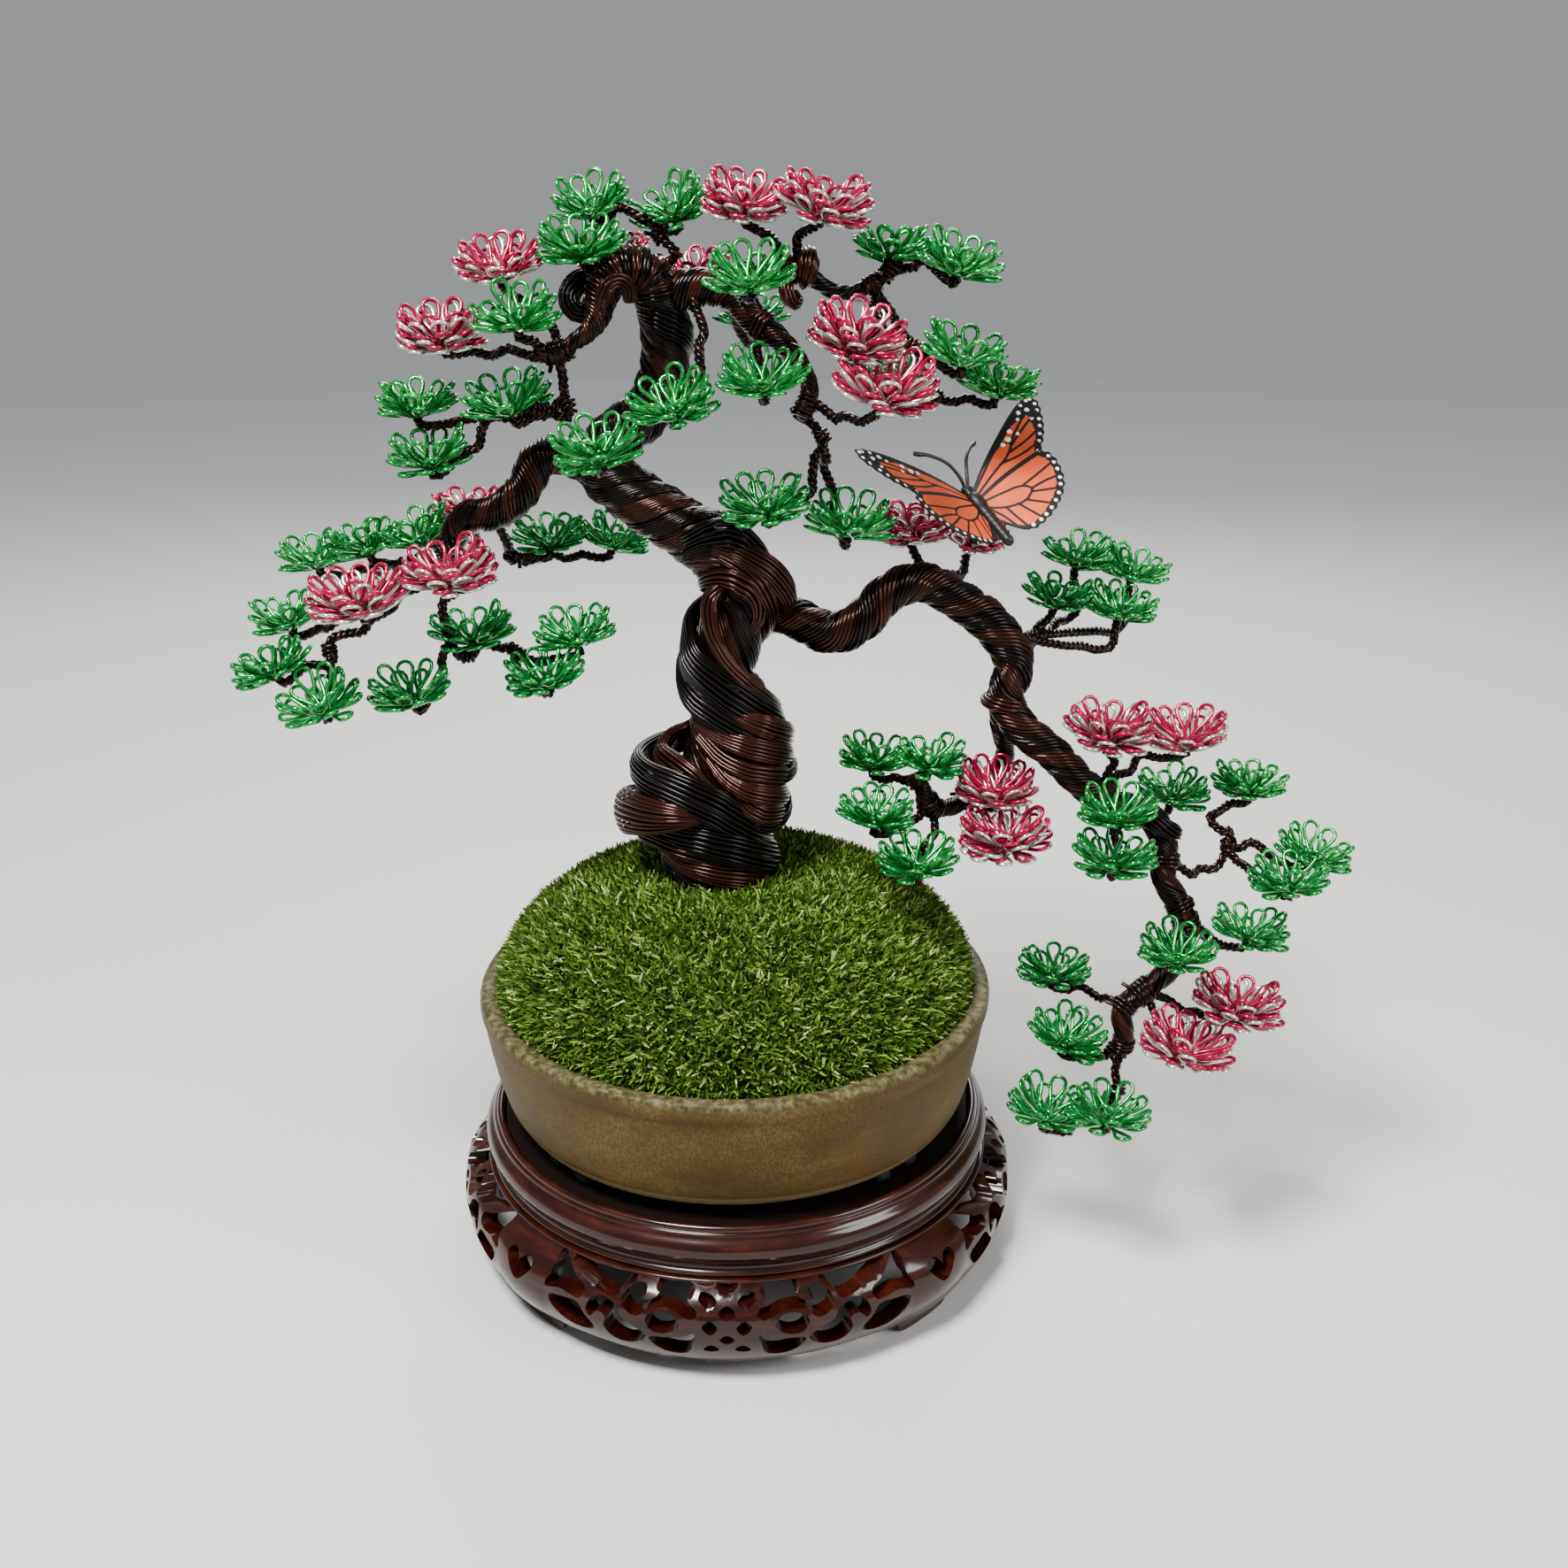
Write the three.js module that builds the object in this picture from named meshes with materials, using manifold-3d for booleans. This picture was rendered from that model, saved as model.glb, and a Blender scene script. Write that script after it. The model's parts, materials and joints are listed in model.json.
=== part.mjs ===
// A flowering cherry bonsai made of craft wire, in a round glazed pot on a turned and pierced stand.
// Millimetres, +Z up. Everything is placed from the pot's axis, with the surface under the feet at 0.
// The last lines shift the whole so that the origin is under the middle of its bounding box.

import * as THREE from 'three';
import { mergeVertices } from 'three/addons/utils/BufferGeometryUtils.js';
import Module from 'manifold-3d';

const wasm = await Module();
wasm.setup();

// Driving dimensions
const GAP = 0.3;
const RIM_RADIUS = 90;
const RIM_HEIGHT = 97.5;
const POT_BASE = 54.3;
const POT_FLOOR = 60;
const POT_WALL = 6.8;
const TRAY_TOP = 49.4;
const STAND_RADIUS = 99.8;
const APRON_TOP = 34.2;
const RING_BOTTOM = APRON_TOP + GAP;
const FILLER_TOP = 90.7;
const MOUND_EDGE = 97;
const MOUND_TOP = 140.5;
const MOUND_RADIUS = RIM_RADIUS - POT_WALL - GAP;
const ROUND = 24;
const QUARTERS = 4;
const BLADE = 1.3;
const PETALS = 5;
const KNOT_AZIMUTH = -2.4;

const finish = (colour, roughness, metalness) =>
  new THREE.MeshStandardMaterial({ color: colour, roughness, metalness });
const darkWire = finish(0x2e1d17, 0.35, 0.6);
const greenWire = finish(0x2fae5c, 0.3, 0.6);
const pinkWire = finish(0xd9456d, 0.35, 0.5);
const turf = finish(0x4b6a22, 0.95, 0);
const plaster = finish(0xb9b3a6, 0.9, 0);
const glaze = finish(0x6d6144, 0.4, 0);
const rosewood = finish(0x4d1a12, 0.3, 0);
const wingSheet = finish(0xe06a35, 0.5, 0);
const bodyPlastic = finish(0x2a2220, 0.5, 0);

// Solids and meshes

function solid(geometry) {
  const bare = geometry.index ? geometry.clone() : geometry;
  bare.deleteAttribute('normal');
  bare.deleteAttribute('uv');
  const merged = mergeVertices(bare, 1e-3);
  return new wasm.Manifold(new wasm.Mesh({
    numProp: 3,
    vertProperties: new Float32Array(merged.attributes.position.array),
    triVerts: new Uint32Array(merged.index.array),
  }));
}

// The largest body of a solid: a cut can leave a loose scrap beside it.
function whole(manifold) {
  const bodies = manifold.decompose();
  return bodies.reduce((best, body) => (body.volume() > best.volume() ? body : best));
}

function join(solids) {
  return solids.reduce((sum, next) => sum.add(next));
}

function geometryOf(manifold) {
  const { vertProperties, triVerts } = manifold.getMesh();
  const geometry = new THREE.BufferGeometry();
  geometry.setAttribute('position', new THREE.BufferAttribute(vertProperties, 3));
  geometry.setIndex(new THREE.BufferAttribute(triVerts, 1));
  geometry.computeVertexNormals();
  return geometry;
}

const bonsai = new THREE.Group();

function node(name, manifold, material) {
  const mesh = new THREE.Mesh(geometryOf(manifold), material);
  mesh.name = name;
  bonsai.add(mesh);
}

// A turned piece: the profile is a closed list of radius and height, counter-clockwise.
function turned(profile, segments = ROUND) {
  const points = profile.map(([radius, height]) => new THREE.Vector2(radius, height));
  const closes = profile[0][0] > 0;
  if (closes) points.push(points[0].clone());
  const geometry = new THREE.LatheGeometry(points, segments);
  geometry.rotateX(Math.PI / 2);
  return solid(geometry);
}

// A bundle of wires along a route. Its section is a lobed outline that turns as it goes,
// so that the bundle reads as a rope of a few thick strands.
// Each route point is [x, y, z, radius].
function bundle(route, { lobes = 3, sides = 9, lobe = 0.14, perSpan = 2, turn = 20, grow = 0 }) {
  const section = [];
  for (let side = 0; side < sides; side += 1) {
    const angle = (2 * Math.PI * side) / sides;
    const radius = 1 + lobe * Math.cos(lobes * angle);
    section.push(new THREE.Vector2(radius * Math.cos(angle), radius * Math.sin(angle)));
  }
  const spans = route.length - 1;
  const steps = spans * perSpan;
  const curve = new THREE.CatmullRomCurve3(route.map(([x, y, z]) => new THREE.Vector3(x, y, z)));
  const across = [];
  let last = new THREE.Vector3(0, -1, 0.01);
  for (let step = 0; step <= steps; step += 1) {
    const along = curve.getTangent(step / steps);
    last = last.clone().addScaledVector(along, -last.dot(along)).normalize();
    across.push({ along, out: last, side: along.clone().cross(last) });
  }
  const geometry = new THREE.ExtrudeGeometry(new THREE.Shape(section), {
    steps, depth: steps, bevelEnabled: false,
  });
  const position = geometry.attributes.position;
  for (let index = 0; index < position.count; index += 1) {
    const step = Math.round(position.getZ(index));
    const place = step / perSpan;
    const from = Math.min(Math.floor(place), spans - 1);
    const radius = THREE.MathUtils.lerp(route[from][3], route[from + 1][3], place - from) + grow;
    const angle = THREE.MathUtils.degToRad(turn * step);
    const x = position.getX(index) * radius;
    const y = position.getY(index) * radius;
    const point = curve.getPoint(step / steps);
    point.addScaledVector(across[step].out, x * Math.cos(angle) - y * Math.sin(angle));
    point.addScaledVector(across[step].side, x * Math.sin(angle) + y * Math.cos(angle));
    position.setXYZ(index, point.x, point.y, point.z);
  }
  return solid(geometry);
}

// One turn of a bundle wound round the trunk or a bough, as a tilted ring.
function wrap({ at, ring, thick, tiltX = 0, tiltY = 0, squash = 1 }, grow = 0) {
  const geometry = new THREE.TorusGeometry(ring, thick + grow, 6, 8);
  geometry.scale(1, squash, 1);
  geometry.rotateX(THREE.MathUtils.degToRad(tiltX));
  geometry.rotateY(THREE.MathUtils.degToRad(tiltY));
  geometry.translate(...at);
  return solid(geometry);
}

// Stand: a turned ring, a tray let into it and a pierced apron with four feet

const ringProfile = [
  [80, RING_BOTTOM], [88.7, RING_BOTTOM], [86.8, 38.6], [90.2, 44.6], [88.4, 48.6],
  [85.6, 51.5], [84.2, 51.5], [84.2, 43.7], [80, 43.7],
];
node('stand_ring', turned(ringProfile), rosewood);

const trayProfile = [[0, 44], [84.2 - GAP, 44], [84.2 - GAP, TRAY_TOP], [0, TRAY_TOP]];
node('stand_tray', turned(trayProfile), rosewood);

const apronProfile = [
  [84, 4], [91.4, 4], [STAND_RADIUS, 16], [98.6, 27], [88.6, APRON_TOP], [82, APRON_TOP],
  [93.6, 20],
];

// Openings of half a panel, counted from the carved knot in its middle: azimuth and height of
// each corner of the pierced shape. The other half mirrors it.
const OPENINGS = [
  [[5, 22], [9.6, 17], [11.4, 26], [8.4, 31.6]],
  [[13, 25.6], [16.6, 18], [25.6, 24.4], [19, 31.4]],
  [[26.8, 24], [31.4, 29.6], [33, 18], [28.4, 14]],
];

function openingCutter(corners, panel, mirror) {
  const inner = 66;
  const outer = 112;
  const middle = corners.reduce((sum, [azimuth]) => sum + azimuth, 0) / corners.length;
  const facing = panel + mirror * middle;
  const shape = new THREE.Shape(corners.map(([azimuth, height]) => new THREE.Vector2(
    STAND_RADIUS * Math.tan(THREE.MathUtils.degToRad(mirror * (azimuth - middle))), height,
  )));
  const geometry = new THREE.ExtrudeGeometry(shape, { depth: outer - inner, bevelEnabled: false });
  geometry.rotateX(Math.PI / 2);
  geometry.translate(0, -inner, 0);
  geometry.rotateZ(THREE.MathUtils.degToRad(facing));
  return solid(geometry);
}

let apron = turned(apronProfile);
for (let quarter = 0; quarter < QUARTERS; quarter += 1) {
  const panel = KNOT_AZIMUTH + quarter * 90;
  for (const corners of OPENINGS) {
    for (const mirror of [1, -1]) {
      apron = apron.subtract(openingCutter(corners, panel, mirror));
    }
  }
  const foot = new THREE.BoxGeometry(14, 9, 7);
  foot.translate(0, -89.5, 3.5);
  foot.rotateZ(THREE.MathUtils.degToRad(panel + 45));
  apron = apron.add(solid(foot));
}
node('stand_apron', whole(apron), rosewood);

// Pot: a turned body on four notched feet, filled and topped with a mound of turf

const wallInside = RIM_RADIUS - POT_WALL;
const potProfile = [
  [0, POT_BASE], [78.8, POT_BASE], [84.8, 66], [88.2, 82], [RIM_RADIUS, 95],
  [RIM_RADIUS - 1.6, RIM_HEIGHT], [wallInside + 1, RIM_HEIGHT], [wallInside, 95],
  [74, POT_FLOOR], [0, POT_FLOOR],
];
const footLobes = [];
for (let quarter = 0; quarter < QUARTERS; quarter += 1) {
  for (const step of [-1, 1]) {
    const lobe = new THREE.BoxGeometry(10, 12, POT_BASE - TRAY_TOP - GAP + 2);
    lobe.translate(0, -72, (POT_BASE + TRAY_TOP + GAP + 2) / 2);
    lobe.rotateZ(THREE.MathUtils.degToRad(quarter * 90 + 43 + 5 * step));
    footLobes.push(solid(lobe));
  }
}
node('pot', join([turned(potProfile), ...footLobes]), glaze);

// Trunk: a rope of bundles, wound round with more turns of wire near its foot

const TRUNK = [
  [-7, -6, 126, 13], [-8, -6, 140, 15.5], [-8, -5, 154, 15], [-5, -2, 167, 15],
  [-2, 0, 181, 14.6], [-0.5, 1, 195, 13.6], [-4.5, 1, 208, 12], [-0.5, 0, 221, 12], [4, 0, 234, 12],
  [-3, 2, 247, 11.2], [-17, 6, 256, 10.2], [-33, 10, 266, 9.6], [-42, 14, 274, 9.2],
  [-38, 18, 282, 9], [-27, 20, 290, 8.6],
  [-21, 20, 302, 8.4], [-20, 18, 316, 8.4], [-22, 14, 328, 8], [-25, 11, 336, 6.4],
];
const TRUNK_WRAPS = [
  { at: [-21, -8, 158], ring: 11.5, thick: 6.4, tiltX: 14, tiltY: 8 },
  { at: [-15, -5, 172], ring: 13.4, thick: 6.4, tiltX: 16, tiltY: -10, squash: 0.9 },
  { at: [4, -2, 168], ring: 10.5, thick: 6, tiltX: 20, tiltY: 24 },
  { at: [3, -1, 186], ring: 11, thick: 6, tiltX: 18, tiltY: 26 },
  { at: [-4, -6, 147], ring: 13, thick: 5.6, tiltX: 8, tiltY: -6 },
  { at: [5, 0, 232], ring: 9, thick: 5.4, tiltX: 24, tiltY: 40, squash: 1.1 },
  { at: [-31, 6, 333], ring: 7.6, thick: 4.4, tiltX: 66, tiltY: 10 },
];

function trunkSolid(grow) {
  const stub = new THREE.CylinderGeometry(16 + grow, 16 + grow, 66 + 2 * grow, 14);
  stub.rotateX(Math.PI / 2);
  stub.translate(-7, -6, 108);
  const core = bundle(TRUNK, { lobes: 3, sides: 9, lobe: 0.13, perSpan: 1, turn: 40, grow });
  return join([solid(stub), core, ...TRUNK_WRAPS.map((turn) => wrap(turn, grow))]);
}
const trunkRoom = trunkSolid(GAP);
node('trunk', trunkSolid(0), darkWire);

const fillerProfile = [
  [0, POT_FLOOR + GAP], [72.6, POT_FLOOR + GAP], [wallInside - 2.4, FILLER_TOP], [0, FILLER_TOP],
];
node('pot_filler', turned(fillerProfile, 20).subtract(trunkRoom), plaster);

const moundProfile = [[0, FILLER_TOP + GAP], [MOUND_RADIUS - 1.6, FILLER_TOP + GAP]];
for (const share of [0, 0.2, 0.45, 0.72, 1]) {
  const angle = share * Math.PI / 2;
  const radius = share === 1 ? 0 : (MOUND_RADIUS - 0.6) * Math.cos(angle);
  moundProfile.push([radius, MOUND_EDGE + (MOUND_TOP - MOUND_EDGE) * Math.sin(angle)]);
}
node('moss_mound', whole(turned(moundProfile).subtract(trunkRoom)), turf);

// Boughs: thinner bundles that leave the trunk, each with its twigs

const BOUGHS = {
  bough_left: {
    route: [[-43, 13, 273, 6.6], [-54, 10, 278, 6.4], [-61, 4, 277, 6.2], [-66, 0, 268, 6],
      [-75, 2, 261, 5.8], [-84, 5, 259, 5.6], [-90, 8, 252, 5]],
    knots: [],
  },
  bough_crown_left: {
    route: [[-27, 10, 334, 5], [-36, 6, 335, 5.4], [-42, 2, 329, 5.4], [-36, -4, 322, 4.6],
      [-34, -6, 315, 4.2], [-42, -6, 311, 4], [-50, -5, 310, 3.6], [-58, -6, 310, 3]],
    knots: [{ at: [-46, 4, 328], ring: 6, thick: 3.4, tiltX: 60, tiltY: -20 }],
  },
  bough_crown_right: {
    route: [[-16, 14, 328, 6.6], [-7, 12, 329, 6.2], [2, 8, 327, 5.6], [8, 4, 320, 4.6],
      [15, 0, 315, 3.8], [22, -4, 307, 3.2], [25, -6, 299, 2.8], [22, -8, 292, 2.6]],
    knots: [{ at: [21, -8, 294], ring: 3.4, thick: 2.4, tiltX: 70, tiltY: 20 }],
  },
  bough_right: {
    route: [[7, 12, 331, 5], [17, 13, 333, 5.2], [25, 12, 334, 5], [32, 12, 329, 3.8],
      [41, 12, 328, 3.4], [48, 12, 331, 3], [52, 14, 336, 2.4]],
    knots: [{ at: [25, 12, 334], ring: 4.6, thick: 3.2, tiltX: 80, tiltY: 10 }],
  },
  bough_cascade: {
    route: [[10, 2, 230, 7], [21, 0, 226, 7], [33, -4, 222, 7.2], [43, -5, 227, 7],
      [51, -3, 235, 6.8], [62, 0, 238, 6.8], [75, 2, 231, 7], [87, 2, 222, 7.2],
      [94, 0, 210, 7], [91, -2, 199, 6.4], [96, -6, 190, 6.2], [107, -8, 181, 6],
      [118, -8, 170, 5.8], [131, -4, 161, 5.4], [145, 0, 154, 5.2], [149, -3, 144, 4.8],
      [149, -5, 134, 4.6], [155, -7, 124, 4.4], [158, -9, 113, 4.2], [152, -13, 103, 4],
      [143, -16, 96, 4], [134, -20, 90, 3.8], [135, -23, 82, 3.4], [134, -22, 74, 3]],
    knots: [
      { at: [79, 2, 243], ring: 5, thick: 1.6, tiltX: 90, tiltY: 20 },
      { at: [133, -20, 91], ring: 3.6, thick: 2.6, tiltX: 30, tiltY: 10 },
    ],
  },
  bough_inner: {
    route: [[90, 0, 193, 3.8], [92, 8, 184, 3.6], [95, 14, 173, 3.4], [88, 14, 162, 3.4],
      [78, 8, 157, 3.2], [69, 2, 158, 3.2], [65, -1, 165, 3.2], [62, 1, 171, 3]],
    knots: [],
  },
};

// Blooms: centre, diameter, tilt towards the front, lean towards +X, and the bough and the route
// of the twig under it. Blooms that share a name touch and are one body.
const BLOOMS = [
  ['green_01', [-43, 18, 358], 26, 24, -10, 'bough_crown_left', [[-30, 9, 338], [-36, 17, 346]]],
  ['green_01', [-44, -3, 347], 28, 28, -5, 'bough_crown_left', [[-40, 3, 332]]],
  ['green_02', [-19, 19, 357], 26, 30, -20, 'bough_crown_left', [[-32, 12, 341], [-22, 17, 344]]],
  ['pink_01', [-70, 5, 339], 27, 24, -5, 'bough_crown_left', [[-50, -5, 311], [-57, 0, 322]]],
  ['pink_02', [-88, 0, 320], 28, 26, 0, 'bough_crown_left', [[-52, -5, 310], [-70, -2, 311]]],
  ['green_03', [-64, -15, 327], 27, 25, -8, 'bough_crown_left', [[-54, -7, 310], [-59, -11, 315]]],
  ['pink_03', [6, 3, 358], 27, 28, 5, 'bough_right', [[20, 12, 336], [12, 9, 345]]],
  ['pink_03', [30, -2, 357], 30, 22, 15, 'bough_right', [[21, 12, 336], [24, 4, 346]]],
  ['green_04', [6, -25, 339], 27, 29, -5, 'bough_crown_right', [[3, 6, 328], [5, -14, 328]]],
  ['pink_04', [-37, 38, 340], 25, 20, -5, 'bough_crown_left', [[-35, 8, 335], [-36, 26, 328]]],
  ['pink_05', [-11, 38, 334], 25, 20, 5, 'bough_crown_right', [[-11, 14, 328], [-13, 30, 325]]],
  ['green_05', [8, 40, 322], 25, 10, 5, 'bough_crown_right', [[0, 10, 327], [6, 28, 311]]],
  ['green_06', [51, 14, 344], 25, 12, 5, 'bough_right', [[51, 13, 334]]],
  ['green_06', [72, 1, 339], 27, 20, 12, 'bough_right', [[51, 13, 333], [62, 4, 334]]],
  ['pink_06', [39, -19, 320], 30, 28, 10, 'bough_right', [[45, 12, 329], [46, -4, 318]]],
  ['pink_06', [46, -33, 306], 32, 22, 8, 'bough_crown_right', [[24, -7, 297], [34, -14, 292]]],
  ['green_07', [74, 0, 314], 28, 16, 10, 'bough_right', [[46, 12, 328], [58, 6, 312]]],
  ['green_07', [87, 10, 303], 27, 12, 14, 'bough_right', [[58, 6, 312], [64, 14, 297], [78, 13, 294]]],
  ['green_08', [54, 27, 304], 24, 10, 0, 'bough_right', [[64, 14, 297], [58, 22, 292]]],
  ['green_09', [-99, 9, 298], 26, 14, -3, 'bough_crown_left',
    [[-52, -6, 309], [-50, -3, 293], [-84, 3, 289]]],
  ['green_09', [-94, -3, 284], 27, 19, -5, 'bough_crown_left', [[-50, -3, 293], [-80, -2, 279]]],
  ['green_10', [-69, -5, 300], 29, 14, -15, 'bough_crown_left', [[-51, -4, 297], [-58, -4, 293]]],
  ['green_11', [-40, -27, 290], 29, 28, -10, 'bough_left', [[-45, 10, 278], [-42, -12, 277]]],
  ['green_11', [-18, -30, 303], 28, 29, -10, 'bough_crown_right',
    [[-11, 10, 327], [-8, -2, 312], [-14, -18, 296]]],
  ['green_12', [10, -30, 310], 28, 23, -3, 'bough_crown_right', [[10, 2, 318], [9, -16, 303]]],
  ['green_13', [10, -20, 272], 29, 26, -5, 'bough_crown_right',
    [[22, -8, 293], [28, -7, 285], [23, -11, 268]]],
  ['green_13', [37, -12, 263], 29, 10, 3, 'bough_crown_right',
    [[28, -7, 285], [32, 6, 270], [35, 4, 254]]],
  ['pink_07', [60, 12, 255], 27, 12, 0, 'bough_cascade', [[66, 0, 238], [62, 8, 243]]],
  ['pink_07', [82, 26, 250], 26, 10, 10, 'bough_cascade', [[70, 0, 234], [78, 20, 238]]],
  ['green_14', [-145, 44, 241], 27, 5, -12, 'bough_left',
    [[-90, 8, 252], [-112, 32, 238], [-134, 41, 233]]],
  ['green_14', [-126, 38, 247], 27, 5, -15, 'bough_left', [[-112, 32, 238]]],
  ['green_14', [-107, 31, 251], 27, 5, -15, 'bough_left', [[-101, 20, 245]]],
  ['pink_08', [-92, 54, 253], 27, 5, -10, 'bough_left', [[-84, 6, 257], [-88, 36, 245]]],
  ['green_15', [-62, 35, 250], 27, 10, 0, 'bough_left', [[-76, 4, 260], [-71, 22, 236]]],
  ['green_15', [-40, 43, 247], 25, 8, 15, 'bough_left', [[-71, 22, 236], [-52, 38, 236]]],
  ['pink_09', [-114, -29, 243], 31, 18, -8, 'bough_left', [[-88, 6, 254], [-100, -10, 240]]],
  ['pink_09', [-87, -24, 250], 30, 16, -3, 'bough_left', [[-89, 6, 254], [-87, -8, 242]]],
  ['green_16', [-146, 5, 229], 25, 8, -15, 'bough_left', [[-90, 8, 252], [-112, 4, 236], [-132, 4, 224]]],
  ['green_16', [-148, -14, 219], 26, 16, -22, 'bough_left', [[-112, 4, 236], [-134, -8, 213]]],
  ['green_16', [-131, -27, 211], 27, 26, -15, 'bough_left', [[-112, 4, 236], [-122, -14, 213]]],
  ['green_17', [-103, -20, 212], 27, 20, -12, 'bough_left',
    [[-92, 15, 234], [-101, 8, 218], [-100, -8, 202]]],
  ['green_18', [-84, -5, 227], 28, 10, -5, 'bough_left', [[-90, 8, 252], [-92, 15, 234], [-86, 9, 215]]],
  ['green_19', [-52, 2, 224], 27, 10, -10, 'bough_left', [[-92, 15, 234], [-68, 14, 212]]],
  ['green_19', [-61, -12, 215], 27, 20, -10, 'bough_left', [[-69, 14, 213], [-66, 4, 204]]],
  ['green_20', [122, 41, 240], 26, 6, 5, 'bough_cascade', [[100, 15, 215], [122, 43, 217]]],
  ['green_20', [144, 45, 234], 26, 5, 12, 'bough_cascade', [[100, 15, 215], [142, 46, 212]]],
  ['green_20', [113, 27, 230], 26, 12, 10, 'bough_cascade', [[85, 2, 222], [100, 15, 215]]],
  ['green_20', [136, 29, 225], 26, 16, 8, 'bough_cascade', [[100, 15, 215], [132, 28, 208]]],
  ['green_21', [49, 9, 177], 25, 9, 5, 'bough_inner', [[63, 1, 168], [54, 6, 167]]],
  ['green_21', [67, -2, 180], 25, 10, 8, 'bough_inner', [[63, 1, 168]]],
  ['pink_10', [89, -4, 169], 28, 13, 0, 'bough_inner', [[84, 12, 160], [88, 2, 158]]],
  ['pink_10', [90, -20, 159], 31, 18, -5, 'bough_inner', [[82, 11, 158], [86, 0, 147]]],
  ['green_22', [48, -10, 163], 27, 2, 5, 'bough_inner', [[67, 0, 161], [56, -4, 153]]],
  ['green_22', [60, -26, 153], 28, 9, -5, 'bough_inner', [[70, 2, 158], [64, -12, 145]]],
  ['pink_11', [126, -5, 190], 30, 11, 5, 'bough_cascade', [[126, -6, 166], [128, -6, 178]]],
  ['pink_11', [155, 4, 186], 29, 4, -5, 'bough_cascade', [[128, -5, 164], [142, 0, 175]]],
  ['green_23', [181, 10, 165], 26, 2, 0, 'bough_cascade', [[149, -4, 140], [166, 2, 138], [174, 6, 154]]],
  ['green_24', [151, 15, 167], 27, 0, -8, 'bough_cascade', [[142, 0, 156], [148, 12, 156]]],
  ['green_25', [125, -28, 170], 27, 5, -5, 'bough_cascade', [[120, -8, 169], [123, -20, 162]]],
  ['green_25', [124, -33, 156], 28, 3, 3, 'bough_cascade', [[128, -6, 163], [128, -18, 148]]],
  ['green_26', [201, -5, 144], 27, 2, 12, 'bough_cascade', [[166, 2, 138], [190, -2, 136]]],
  ['green_26', [187, -21, 142], 27, 4, -5, 'bough_cascade', [[166, 2, 138], [180, -12, 134]]],
  ['green_27', [180, -10, 118], 27, 6, 8, 'bough_cascade', [[155, -7, 124], [168, -8, 111]]],
  ['green_28', [147, -36, 123], 27, 8, 0, 'bough_cascade', [[156, -8, 119], [151, -24, 114]]],
  ['green_29', [112, -9, 103], 26, 0, 3, 'bough_cascade', [[132, -18, 92], [124, -6, 91]]],
  ['green_30', [115, -24, 85], 28, 5, 12, 'bough_cascade', [[134, -22, 79], [125, -23, 74]]],
  ['pink_12', [150, -46, 91], 32, 0, 10, 'bough_cascade', [[143, -17, 94], [148, -32, 83]]],
  ['pink_12', [170, -33, 99], 31, -6, 8, 'bough_cascade', [[144, -16, 95], [160, -24, 90]]],
  ['green_31', [108, -31, 60], 29, 1, 10, 'bough_cascade', [[131, -29, 63], [116, -30, 49]]],
  ['green_31', [126, -45, 67], 28, 0, 5, 'bough_cascade', [[134, -22, 73], [130, -32, 60]]],
];

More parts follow.
